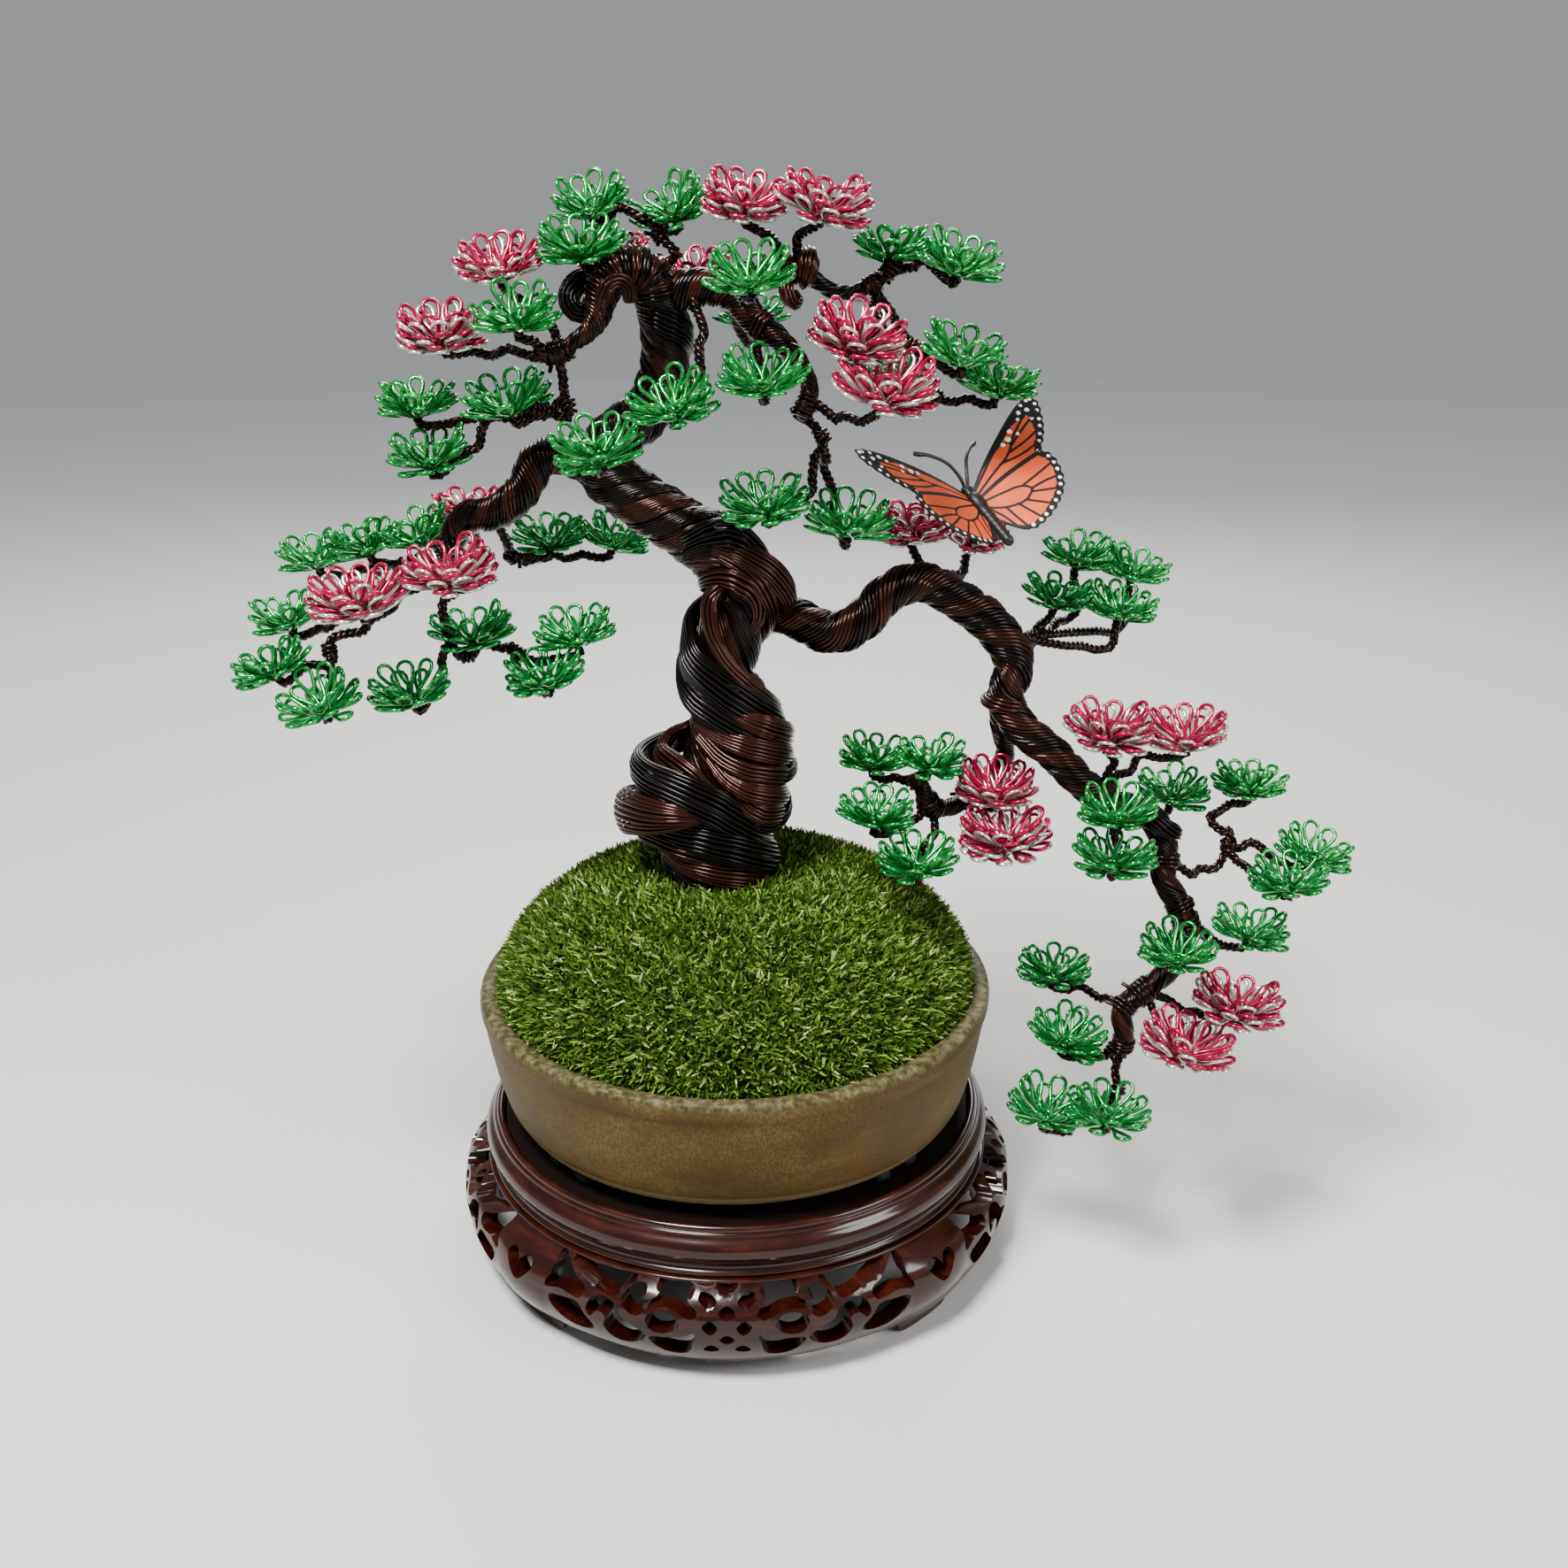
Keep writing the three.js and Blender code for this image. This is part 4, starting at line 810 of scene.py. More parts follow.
# %% Places of the blooms
BLOOMS = [
    ("green_01", (-43, 18, 358), 26, 24, -10, "crown_left",
     [(-21, 14, 345), (-26, 14, 350), (-34, 15, 351.5)]),
    ("green_01", (-44, -3, 347), 28, 28, -5, "crown_left", [(-40, 3, 332)]),
    ("green_02", (-19, 19, 357), 26, 30, -20, "crown_left",
     [(-20, 14, 334), (-16.5, 14, 339.5), (-21, 15, 345)]),
    ("pink_01", (-70, 5, 339), 27, 24, -5, "crown_left", [(-50, -5, 311), (-57, 0, 322)]),
    ("pink_02", (-88, 0, 320), 28, 26, 0, "crown_left", [(-52, -5, 310), (-70, -2, 311)]),
    ("green_03", (-64, -15, 327), 27, 25, -8, "crown_left", [(-54, -7, 310), (-59, -11, 315)]),
    ("pink_03", (6, 3, 358), 27, 28, 5, "right", [(20, 12, 336), (12, 9, 345)]),
    ("pink_03", (30, -2, 357), 30, 22, 15, "right", [(21, 12, 336), (24, 4, 346)]),
    ("green_04", (6, -25, 339), 27, 29, -5, "crown_right", [(3, 6, 328), (5, -14, 328)]),
    ("pink_04", (-37, 38, 340), 25, 20, -5, "crown_left", [(-35, 8, 335), (-36, 26, 328)]),
    ("pink_05", (-11, 38, 334), 25, 20, 5, "crown_right", [(-11, 14, 328), (-13, 30, 325)]),
    ("green_05", (8, 40, 322), 25, 10, 5, "crown_right", [(0, 10, 327), (6, 28, 311)]),
    ("green_06", (51, 14, 344), 25, 12, 5, "right", [(51, 13, 334)]),
    ("green_06", (72, 1, 341), 27, 20, 12, "right", [(51, 13, 333), (60, 6, 337)]),
    ("pink_06", (39, -19, 320), 30, 28, 10, "right", [(45, 12, 329), (46, -4, 318)]),
    ("pink_06", (46, -33, 306), 32, 22, 8, "crown_right", [(24, -7, 297), (34, -14, 292)]),
    ("green_07", (74, 0, 314), 28, 16, 10, "right", [(46, 12, 328), (58, 6, 312)]),
    ("green_07", (87, 10, 303), 27, 12, 14, "right", [(58, 6, 312), (64, 14, 297), (78, 13, 294)]),
    ("green_08", (54, 27, 304), 24, 10, 0, "right", [(64, 14, 297), (58, 22, 292)]),
    ("green_09", (-99, 9, 298), 26, 14, -3, "crown_left",
     [(-52, -6, 309), (-50, -3, 293), (-58, -4, 293), (-72, -1, 292)]),
    ("green_09", (-94, -3, 284), 27, 19, -5, "crown_left",
     [(-58, -4, 293), (-72, -2, 291), (-82, -3, 281)]),
    ("green_10", (-69, -5, 300), 29, 14, -15, "crown_left", [(-51, -4, 297), (-58, -4, 293)]),
    ("green_11", (-40, -27, 290), 29, 28, -10, "left", [(-45, 10, 278), (-42, -12, 277)]),
    ("green_11", (-18, -30, 303), 28, 29, -10, "crown_right",
     [(-11, 10, 327), (-8, -2, 312), (-14, -18, 296)]),
    ("green_12", (10, -30, 310), 28, 23, -3, "crown_right", [(10, 2, 318), (9, -16, 303)]),
    ("green_13", (10, -20, 272), 29, 26, -5, "crown_right",
     [(22, -8, 293), (28, -7, 285), (23, -11, 268)]),
    ("green_13", (37, -12, 263), 29, 10, 3, "crown_right",
     [(28, -7, 285), (32, 6, 270), (35, 4, 254)]),
    ("pink_07", (60, 12, 255), 27, 12, 0, "cascade", [(66, 0, 238), (62, 8, 243)]),
    ("pink_07", (82, 26, 250), 26, 10, 10, "cascade", [(70, 0, 234), (78, 20, 238)]),
    ("green_14", (-145, 44, 241), 27, 5, -12, "left",
     [(-90, 8, 252), (-112, 32, 238), (-134, 41, 233)]),
    ("green_14", (-126, 38, 247), 27, 5, -15, "left", [(-112, 32, 238)]),
    ("green_14", (-107, 31, 251), 27, 5, -15, "left", [(-101, 20, 245)]),
    ("pink_08", (-92, 54, 253), 27, 5, -10, "left", [(-84, 6, 257), (-88, 36, 245)]),
    ("green_15", (-62, 35, 250), 27, 10, 0, "left", [(-76, 4, 260), (-72, 20, 243)]),
    ("green_15", (-40, 43, 247), 25, 8, 15, "left", [(-72, 20, 243), (-54, 40, 239)]),
    ("pink_09", (-114, -29, 243), 31, 18, -8, "left", [(-88, 6, 254), (-100, -10, 240)]),
    ("pink_09", (-87, -24, 250), 30, 16, -3, "left", [(-89, 6, 254), (-87, -8, 242)]),
    ("green_16", (-146, 5, 229), 25, 8, -15, "left",
     [(-90, 8, 252), (-112, 4, 236), (-132, 4, 224)]),
    ("green_16", (-148, -14, 219), 26, 16, -22, "left",
     [(-112, 4, 236), (-112, -4, 230), (-121, -6, 225), (-127, -9, 221.5), (-129, -12, 217),
      (-137, -14, 213.6)]),
    ("green_16", (-131, -27, 211), 27, 26, -15, "left", [(-127.5, -10, 220), (-128, -18, 208)]),
    ("green_17", (-103, -20, 212), 27, 20, -12, "left",
     [(-87, -8, 242), (-92, -7, 230), (-91, -11, 219), (-98, -13, 203)]),
    ("green_18", (-84, -5, 227), 28, 10, -5, "left", [(-91.5, -10, 224), (-88, -6, 216)]),
    ("green_19", (-52, 2, 224), 27, 10, -10, "left",
     [(-86, -5, 217), (-76, -2, 219), (-70, 1, 214.5), (-60, 2, 212)]),
    ("green_19", (-61, -12, 215), 27, 20, -10, "left", [(-71, 0, 215), (-69, -4, 206)]),
    ("green_20", (122, 41, 240), 26, 6, 5, "cascade", [(100, 15, 215), (122, 43, 217)]),
    ("green_20", (144, 45, 234), 26, 5, 12, "cascade", [(100, 15, 215), (142, 46, 212)]),
    ("green_20", (113, 27, 230), 26, 12, 10, "cascade", [(85, 2, 222), (100, 15, 215)]),
    ("green_20", (136, 29, 225), 26, 16, 8, "cascade", [(100, 15, 215), (132, 28, 208)]),
    ("green_21", (49, 9, 177), 25, 9, 5, "inner", [(63, 1, 168), (54, 6, 167)]),
    ("green_21", (67, -2, 180), 25, 10, 8, "inner", [(63, 1, 168)]),
    ("pink_10", (89, -4, 169), 28, 13, 0, "inner", [(84, 12, 160), (88, 2, 158)]),
    ("pink_10", (90, -20, 159), 31, 18, -5, "inner", [(82, 11, 158), (86, 0, 147)]),
    ("green_22", (48, -10, 163), 27, 2, 5, "inner", [(67, 0, 161), (56, -4, 153)]),
    ("green_22", (60, -26, 153), 28, 9, -5, "inner", [(70, 2, 158), (64, -12, 145)]),
    ("pink_11", (126, -5, 190), 30, 11, 5, "cascade", [(126, -6, 166), (128, -6, 178)]),
    ("pink_11", (155, 4, 184), 29, 6, -5, "cascade",
     [(129, -5, 164), (131, -3, 171), (139, 0, 176)]),
    ("green_23", (181, 10, 165), 26, 2, 0, "cascade",
     [(149, -4, 140), (158, -2, 135), (168, 1, 134), (172, 2, 142), (175, 3, 148), (166, 3, 149),
      (169, 5, 155)]),
    ("green_24", (155, 14, 161), 27, 4, 3, "cascade", [(142, 0, 156), (149, 9, 151)]),
    ("green_25", (125, -28, 170), 27, 5, -5, "cascade", [(120, -8, 169), (123, -20, 162)]),
    ("green_25", (124, -33, 156), 28, 3, 3, "cascade", [(128, -6, 163), (128, -18, 148)]),
    ("green_26", (201, -5, 144), 27, 2, 12, "cascade",
     [(171, 2, 142), (182, 0, 143), (192, -2, 137)]),
    ("green_26", (187, -21, 142), 27, 4, -5, "cascade", [(171, 2, 142), (179, -12, 137)]),
    ("green_27", (180, -10, 118), 27, 6, 8, "cascade", [(155, -7, 124), (168, -8, 111)]),
    ("green_28", (147, -36, 123), 27, 8, 0, "cascade", [(156, -8, 119), (151, -24, 114)]),
    ("green_29", (112, -9, 103), 26, 0, 3, "cascade", [(132, -18, 92), (124, -6, 91)]),
    ("green_30", (115, -24, 85), 28, 5, 12, "cascade", [(134, -22, 79), (125, -23, 74)]),
    ("pink_12", (150, -46, 91), 32, 0, 10, "cascade", [(143, -17, 94), (148, -32, 83)]),
    ("pink_12", (170, -33, 99), 31, -6, 8, "cascade", [(144, -16, 95), (160, -24, 90)]),
    ("green_31", (108, -31, 60), 29, 1, 10, "cascade", [(131, -29, 63), (116, -30, 49)]),
    ("green_31", (126, -45, 67), 28, 0, 5, "cascade", [(134, -22, 73), (130, -32, 60)]),
]
print(len(BLOOMS), "blooms")

# %% [markdown]
# The bloom's hub lies a little under its centre, and the twig comes up along its axis. The
# tilts were judged on cupped blooms, which seem to face the viewer more than they do, so
# each is set some degrees more upright. A twig of straight lengths would look drawn with a
# ruler, so it wavers as hand-bent wire does: sines of the length run that fade at both ends.

# %% Twigs
MORE_UPRIGHT, LEAST_TILT = 11, 0.3
HUB_DEPTH, TILTED_DEPTH = {"green": 0.2, "pink": 0.13}, 0.1
TWIG_END_MM = (3.6, 0.96)
TWIG_RADIUS = 1.75
BEND_MM, BEND_EVERY_MM = 1.3, 2.3
BEND_RATES = (0.83, 1.31, 1.0)
BEND_FADE_MM, STRAIGHT_TOP_MM = 8, 5


def seat(name, centre, width, tilt, lean):
    """The hub of a bloom and the direction in which it opens."""
    upright = max(tilt - MORE_UPRIGHT, LEAST_TILT * tilt)
    axis = np.array([math.tan(math.radians(lean)), -math.tan(math.radians(upright)), 1])
    axis /= np.linalg.norm(axis)
    drop = HUB_DEPTH[name.split("_")[0]] * width + TILTED_DEPTH * tilt
    return np.array(centre, float) - axis * drop, axis


def twig_route(bloom):
    """The line of a twig, through its points and up to the hub of its bloom."""
    hub, axis = seat(*bloom[:5])
    points = [*bloom[6], *(hub - axis * drop for drop in TWIG_END_MM)]
    line = flowing([(*point, TWIG_RADIUS) for point in points], 5)
    run = run_along(line)
    free = np.clip(np.minimum(run, run[-1] - run - STRAIGHT_TOP_MM) / BEND_FADE_MM, 0, 1)
    for column, rate in enumerate(BEND_RATES):
        phase = run * rate / BEND_EVERY_MM + sum(bloom[1]) + column
        line[:, column] += BEND_MM * free * np.sin(phase)
    return line


print("longest twig", round(max(run_along(twig_route(bloom))[-1] for bloom in BLOOMS)), "mm")

# %% [markdown]
# Where a twig leaves, the maker binds it with a wire wound twice round, and its cut end stands
# off a little. The coil is a helix round the thinnest thing that passes the twig's first point.

# %% Binding coils
COIL_FINDS_MM, COIL_FITS_MM, COIL_CLEARS_MM = 9, 5.2, 0.4
COIL_TURNS, COIL_MIDDLE, COIL_POINTS = 2.4, 1.3, 26
COIL_RISE_MM, COIL_END_MM, COIL_END_SHARE = 1.5, 0.9, 0.8
COIL_WIRE = 0.76


def nearest_stretch(spot, lines):
    """Where a line passes closest to a spot: the distance, the point and the way it runs."""
    found = []
    for line in lines:
        away = np.linalg.norm(line[:, :3] - spot[:3], axis=1)
        near = away.argmin()
        if 0 < near < len(line) - 1:
            found.append((away[near], line[near], line[near + 1, :3] - line[near - 1, :3]))
    return min(found, key=lambda stretch: stretch[0]) if found else (math.inf, None, None)


def coils_at(spots, lines, seed):
    """Wires wound twice round whatever passes each spot, with a cut end that stands off."""
    chance = np.random.default_rng(seed)
    coils = []
    for spot in spots:
        away, point, along = nearest_stretch(spot, lines)
        if away > COIL_FINDS_MM or point[3] > COIL_FITS_MM:
            continue
        middle, along = point[:3], along / np.linalg.norm(along)
        u = np.cross(along, chance.normal(size=3))
        u /= np.linalg.norm(u)
        v = np.cross(along, u)
        radius = point[3] + COIL_CLEARS_MM
        turns = np.linspace(0, COIL_TURNS + chance.random(), COIL_POINTS)
        coil = [middle + (u * math.cos(a * FULL_TURN) + v * math.sin(a * FULL_TURN)) * radius
                + along * (a - COIL_MIDDLE) * COIL_RISE_MM for a in turns]
        side = coil[-1] - middle
        coil.append(coil[-1] + (coil[-1] - coil[-2]) * COIL_END_SHARE
                    + side / np.linalg.norm(side) * COIL_END_MM)
        coils.append(np.c_[np.array(coil), np.full(len(coil), COIL_WIRE)])
    return coils


print("coils of", COIL_POINTS + 1, "points")

# %% [markdown]
# A few boughs also end or turn in a thick curl of many wires. Each row is an enamel, the number
# of wires, and a route of x, y, height and radius.

# %% Routes of the curls
CURLS = {
    "crown_left": [
        ("black", 13, [(-34, 8, 331, 3.6), (-41, 8, 332, 3.8), (-46.5, 4, 330.5, 3.8),
                       (-48.5, 1, 326, 3.6), (-46, -1, 322.5, 3.4), (-42.5, 0, 323, 3.2),
                       (-41.5, 2, 326, 2.8)]),
        ("brown", 13, [(-30, 1, 326, 2.4), (-30.6, -1, 330.4, 3), (-33.6, -3, 332, 3.2),
                       (-36.6, -5, 330.4, 3.2), (-38, -6, 326.5, 3), (-38.6, -6.6, 322, 2.6)])],
    "right": [
        ("brown", 12, [(23, 15, 331, 2), (23.5, 14.6, 336, 3), (24.4, 10.4, 338.8, 3.4),
                       (25, 6.4, 337, 3.4), (24.4, 5.6, 333, 3), (23.4, 8.4, 330.4, 2),
                       (23.4, 11, 331.6, 1.4)]),
        ("brown", 8, [(19, 12, 332, 1.4), (18, 7.6, 331, 2.2), (18.2, 5, 327.4, 2.3),
                      (19.8, 5.4, 324.6, 2.2), (21.8, 7.8, 325.2, 1.8), (20.6, 9.6, 328, 1)])],
    "cascade": [
        ("brown", 9, [(96.4, 2, 197, 1.4), (91, 3.8, 197.6, 2.3), (86.2, 1.4, 197.8, 2.5),
                      (85.4, -3.4, 197.8, 2.5), (88.6, -7, 197.6, 2.7), (93.6, -7, 197, 2.7),
                      (96.4, -3.4, 196.6, 2.3), (95, 1, 195.6, 1.1)]),
        ("black", 11, [(147.6, 3, 150, 1.3), (143.4, 2, 154, 2.5), (141, -1.6, 156.4, 2.9),
                       (142.2, -6, 156.4, 3.2), (146.6, -7.6, 153.6, 3.4), (150.8, -6, 151, 3.2),
                       (152, -2, 149.6, 2.6), (150, 1.6, 150, 1.2)])],
}
print(sum(len(curls) for curls in CURLS.values()), "curls on", len(CURLS), "boughs")

# %% [markdown]
# The number of wires in a bough isn't guessed: the wires lie side by side on its girth, and a
# steep twist leaves room for fewer. All the twigs of a bough are grown in one go.

# %% Boughs with their twigs
WIRE_ROOM_MM, CROWDED = 1.3, 1.2
TURNED_A_STEP = 54
TWIG = {"Wires": 3, "Strands": 3, "Hollow": 0.0, "Wire_mm": 1.6, "Twist": -150.0, "Step_mm": 1.2,
        "Stray": 0.15}
COIL = {"Wires": 1, "Strands": 1, "Hollow": 0.0, "Wire_mm": 1.5, "Twist": 0.0, "Step_mm": 1.4,
        "Stray": 0.0, "Tones": 1.0}
for seed, (bough, (twist, route)) in enumerate(BOUGHS.items()):
    name = f"bough_{bough}"
    line = flowing(route)
    girth = FULL_TURN * np.mean(line[:, 3])
    slant = math.cos(math.atan(girth * twist * MM))
    count = round(girth * slant / WIRE_ROOM_MM * CROWDED)
    stem = rope(f"{name}_stem", [line], Wires=count, Hollow=0.14, Twist=twist,
                Step_mm=TURNED_A_STEP / abs(twist), Seed=60 + seed)
    if bough == "right":
        toned(stem, "black")
    twigs = [twig_route(bloom) for bloom in BLOOMS if bloom[5] == bough]
    spray = rope(f"{name}_twigs", twigs, Seed=70 + seed, **TWIG)
    coils = coils_at([twig[0] for twig in twigs], [line, *twigs], 80 + seed)
    coils = toned(rope(f"{name}_coils", coils, Seed=90 + seed, **COIL), "mixed")
    curls = [toned(rope("curl", [flowing(points)], Wires=wires, Twist=8.0, Tones=1.0,
                        Step_mm=1.6, Seed=100), shade)
             for shade, wires, points in CURLS.get(bough, [])]
    piece = joined(f"{name}_wire", [stem, spray, coils, *curls])
    dressed(piece, name)
    print(piece.name, count, "wires,", len(twigs), "twigs,", faces_in(piece), "faces")
dressed(trunk, "trunk")

# %% [markdown]
# ## Blooms
# Each bloom is one long wire bent into loops: two and a half turns of them, flat at the bottom
# and cupped at the top. A loop could be drawn once and copied, but then the wire would be cut
# between two loops. The whole wire follows a formula instead, so the recipe makes a line of
# points at every hub and moves it point by point.

# %% Recipe for a bloom: one long line of points
LOOPS = 24
LOOP_POINTS = 16
LOOPS_A_TURN = 9.5
looped = Recipe("looped_bloom", Wire_mm=float, Phase=float, Drop_mm=float, Low=float,
                High=float, Seed=int, Material=str)
thread = looped.node("GeometryNodeMeshLine", {}, {"Count": LOOPS * LOOP_POINTS})
threads = looped.node("GeometryNodeInstanceOnPoints", {},
                      {0: looped.input("Geometry"), "Instance": thread})
threads = looped.node("GeometryNodeRealizeInstances", {}, {0: threads})
threads = looped.node("GeometryNodeMeshToCurve", {}, {0: threads})
step = looped.node("GeometryNodeSplineParameter", output="Index") / LOOP_POINTS
loop = step.math("FLOOR")
part = step - loop
print(LOOPS, "loops of", LOOP_POINTS, "points")

# %% [markdown]
# A loop is a drop shape: out along one side, round the tip and back on the other side. Loops
# rise from Low to High as the wire goes round, and no two are quite alike: their turn, slope and
# length shift by random numbers with fixed seeds.

# %% Recipe for a bloom: the shape of a loop
SLOW_TIP, LOOP_BELLY, TIP_BLUNT = 0.07, 0.155, 0.075
HUB_SHARE, LENGTH_SHARE, LENGTH_GROWS = 0.09, 0.41, 0.06
LATE_RISE, BENT_SHARE = 1.2, 0.35
CLIMB = 0.0026
TURN_SHIFT, SLOPE_SHIFT, LONGER = (-0.08, 0.08), (-0.09, 0.09), (0.93, 1.06)
SLOPE_SEED, LENGTH_SEED = 7, 9

width = looped.named("width")
key = loop + looped.named("bloom") * 100
part = part + (part * FULL_TURN).math("SINE") * SLOW_TIP
phase = part * FULL_TURN
pitch = FULL_TURN / LOOPS_A_TURN
turn = (loop + looped.input("Phase")) * pitch + looped.named("spin")
turn = turn + looped.chance(*TURN_SHIFT, key, looped.input("Seed"))
aside = (part - 0.5) * (pitch / 2) + (phase * 2).math("SINE") * LOOP_BELLY
swell = (1 - phase.math("COSINE")) * 0.5 - (1 - (phase * 2).math("COSINE")) * TIP_BLUNT
rise = loop / (LOOPS - 1)
low, high = looped.input("Low"), looped.input("High")
slope = low + (high - low) * rise ** LATE_RISE + looped.chance(*SLOPE_SHIFT, key, SLOPE_SEED)
slope = slope * (swell * BENT_SHARE + (1 - BENT_SHARE))
length = width * (rise * LENGTH_GROWS + LENGTH_SHARE)
length = length * looped.chance(*LONGER, key, LENGTH_SEED) * swell
print("loop shape:", len(looped.tree.nodes), "nodes")

# %% [markdown]
# Last, the loops are set round the hub, and the bloom is turned to face along its axis.

# %% Recipe for a bloom: round the hub
distance = width * HUB_SHARE + length * slope.math("COSINE")
aside = aside * (width * HUB_SHARE + length)
height = length * slope.math("SINE") + rise * CLIMB - looped.input("Drop_mm")
cosine, sine = turn.math("COSINE"), turn.math("SINE")
local = looped.xyz(distance * cosine - aside * sine, distance * sine + aside * cosine, height)
facing = looped.standing(looped.named("axis", "FLOAT_VECTOR"))
local = looped.node("FunctionNodeRotateVector", {}, {0: local, 1: facing})
place = looped.vector("ADD", looped.named("hub", "FLOAT_VECTOR"), local)
looped.finish(looped.tube(looped.moved(threads, Position=place), looped.input("Wire_mm") * 0.5))

# %% [markdown]
# Blooms whose loops touch are one piece, as in the model. A pink bloom is wound with two wires
# at once: the silver one is thinner and shows between and below the pink.

# %% Blooms
PINK = {"Wire_mm": 1.35, "Phase": 0.0, "Drop_mm": 1.0, "Low": 0.22, "High": 0.86, "Seed": 1,
        "Material": PINK_WIRE}
GREEN = {**PINK, "Material": GREEN_WIRE}
SILVER = {"Wire_mm": 1.2, "Phase": 0.27, "Drop_mm": 2.2, "Low": 0.2, "High": 0.8, "Seed": 2,
          "Material": SILVER_WIRE}
SPIN = 2.4


def bloom_mesh(name, group, first):
    """One point for each bloom, with the values that the bloom recipe reads."""
    hubs, axes = zip(*(seat(*bloom[:5]) for bloom in group))
    numbers = np.arange(first, first + len(group), dtype=float)
    return marked(mesh_of(name, hubs), width=np.array([bloom[2] for bloom in group]) * MM,
                  bloom=numbers, spin=numbers * SPIN % FULL_TURN, axis=axes, hub=placed(hubs))


groups = {}
for bloom in BLOOMS:
    groups.setdefault(bloom[0], []).append(bloom)
first = 0
for name, group in groups.items():
    colour = name.split("_")[0]
    wires = [GREEN] if colour == "green" else [PINK, SILVER]
    wound = [grown(f"{name}_{index}", bloom_mesh(name, group, first), looped, **values)
             for index, values in enumerate(wires)]
    dressed(joined(f"{name}_wire", wound), name)
    first += len(group)
print("blooms:", first, "in", len(groups), "pieces")

# %% [markdown]
# ## Turf
# The pot's mouth is filled with a dome of artificial turf: short plastic blades set close and
# leaning every way. Geometry Nodes scatter real blades of one small face over a dome and give
# each one its own tone. A few are pale, partly as dry blades and partly as a painted sheen.

# %% Turf finish
PATCHY = 0.35
turf = Finish("turf_blades", Roughness=0.75, Specular_IOR_Level=0.1)
# Tone 0 is near black, painted shade for the ground between the blades.
tint = turf.ramp(turf.attribute("tone"), (0, (0.002, 0.005, 0.001, 1)),
                 (0.05, (0.008, 0.026, 0.0015, 1)), (0.5, (0.045, 0.105, 0.008, 1)),
                 # the two palest stops are partly dry blades and partly painted sheen
                 (0.85, (0.16, 0.27, 0.032, 1)), (0.96, (0.28, 0.40, 0.08, 1)),
                 (0.97, (0.50, 0.56, 0.20, 1)))
turf.feed(Base_Color=turf.mix(turf.noise(60, 2) * PATCHY, tint, (0.03, 0.055, 0.004, 1)))
print("finish", turf.material.name)

# %% [markdown]
# The blade is a small sheet that narrows to its tip and bends over. It is copied to points
# scattered on the dome, each copy with its own lean, turn and size.

# %% Recipe for turf: blades on a surface
TIP_NARROWS, TIP_BENDS = 0.7, 0.35
SIDE_LEAN, UP_LEAN, SIZES = (-1.0, 1.0), (-0.4, 0.4), (0.6, 1.15)
blades = Recipe("turf_blades", Density=float, Length_mm=float, Width_mm=float, Lean=float,
                Seed=int, Material=str)
long = blades.input("Length_mm")
spots = blades.node("GeometryNodeDistributePointsOnFaces", {}, {
    0: blades.input("Geometry"), "Density": blades.input("Density"),
    "Seed": blades.input("Seed")})
normal = spots.output("Normal")
number = blades.node("GeometryNodeInputIndex")
spots = blades.store(spots, "tone", blades.chance(0.0, 1.0, number, 5))
sheet = blades.node("GeometryNodeMeshGrid", {}, {
    "Size X": blades.input("Width_mm"), "Size Y": long, "Vertices X": 2, "Vertices Y": 2})
sheet_x = blades.node("ShaderNodeSeparateXYZ", {}, {0: blades.node("GeometryNodeInputPosition")})
up = sheet_x.output(1) + long * 0.5
blade = blades.moved(sheet, Position=blades.xyz(sheet_x * (1 - (up / long) * TIP_NARROWS),
                                                up * up / long * TIP_BENDS, up))
lean = blades.xyz(*(blades.chance(*shift, number, seed) for seed, shift in
                    enumerate((SIDE_LEAN, SIDE_LEAN, UP_LEAN), 1)))
lean = blades.vector("SCALE", lean, scale=blades.input("Lean"))
spin = blades.node("FunctionNodeEulerToRotation", {},
                   {0: blades.xyz(0.0, 0.0, blades.chance(0.0, FULL_TURN, number, 4))})
stance = blades.node("FunctionNodeRotateRotation", {"rotation_space": "LOCAL"},
                     {0: blades.standing(blades.vector("ADD", normal, lean)), 1: spin})
size = blades.chance(*SIZES, number, 6)
lawn = blades.node("GeometryNodeInstanceOnPoints", {}, {
    "Points": spots, "Instance": blade, "Rotation": stance,
    "Scale": blades.xyz(size, size, size)})
# The dome itself gets tone 0, near black: painted shade between the blades.
blades.finish(blades.store(blades.input("Geometry"), "tone", 0.0), lawn)

# %% [markdown]
# Pot, stand and turf ground are all turned shapes. A Screw modifier could turn them, but a
# thrown pot is never quite round. One helper sweeps a closed outline round the pot's axis with a
# slight wobble, and another eases the corners of an outline, as a maker's sponge does.

# %% Turned shapes
DOUBLES = 1e-6
MOST_EASED = 0.45
WOBBLES, WOBBLE_CREEP, WOBBLE_FULL_MM = 3, 0.08, 80


def eased(corners, bend=1.0, steps=4):
    """A closed outline with every corner drawn as a small arc."""
    corners = [np.array(corner, float) for corner in corners]
    outline = []
    for before, corner, after in zip(corners[-1:] + corners, corners, corners[1:] + corners[:1]):
        ends = []
        for other in (before, after):
            gap = np.linalg.norm(other - corner)
            ends.append(corner + (other - corner) * min(bend / max(gap, 1e-6), MOST_EASED))
        for t in np.linspace(0, 1, steps):
            outline.append(ends[0] * (1 - t) ** 2 + corner * 2 * t * (1 - t) + ends[1] * t * t)
    return outline


def skin(name, rings, closed=True):
    """A smooth piece over a row of rings, each with the same number of points."""
    rows, sides = len(rings), len(rings[0])
    faces = [(row * sides + p, (row + 1) % rows * sides + p,
              (row + 1) % rows * sides + (p + 1) % sides, row * sides + (p + 1) % sides)
             for row in range(rows if closed else rows - 1) for p in range(sides)]
    return piece_of(name, healed(mesh_of(name, np.reshape(rings, (-1, 3)), faces), DOUBLES))


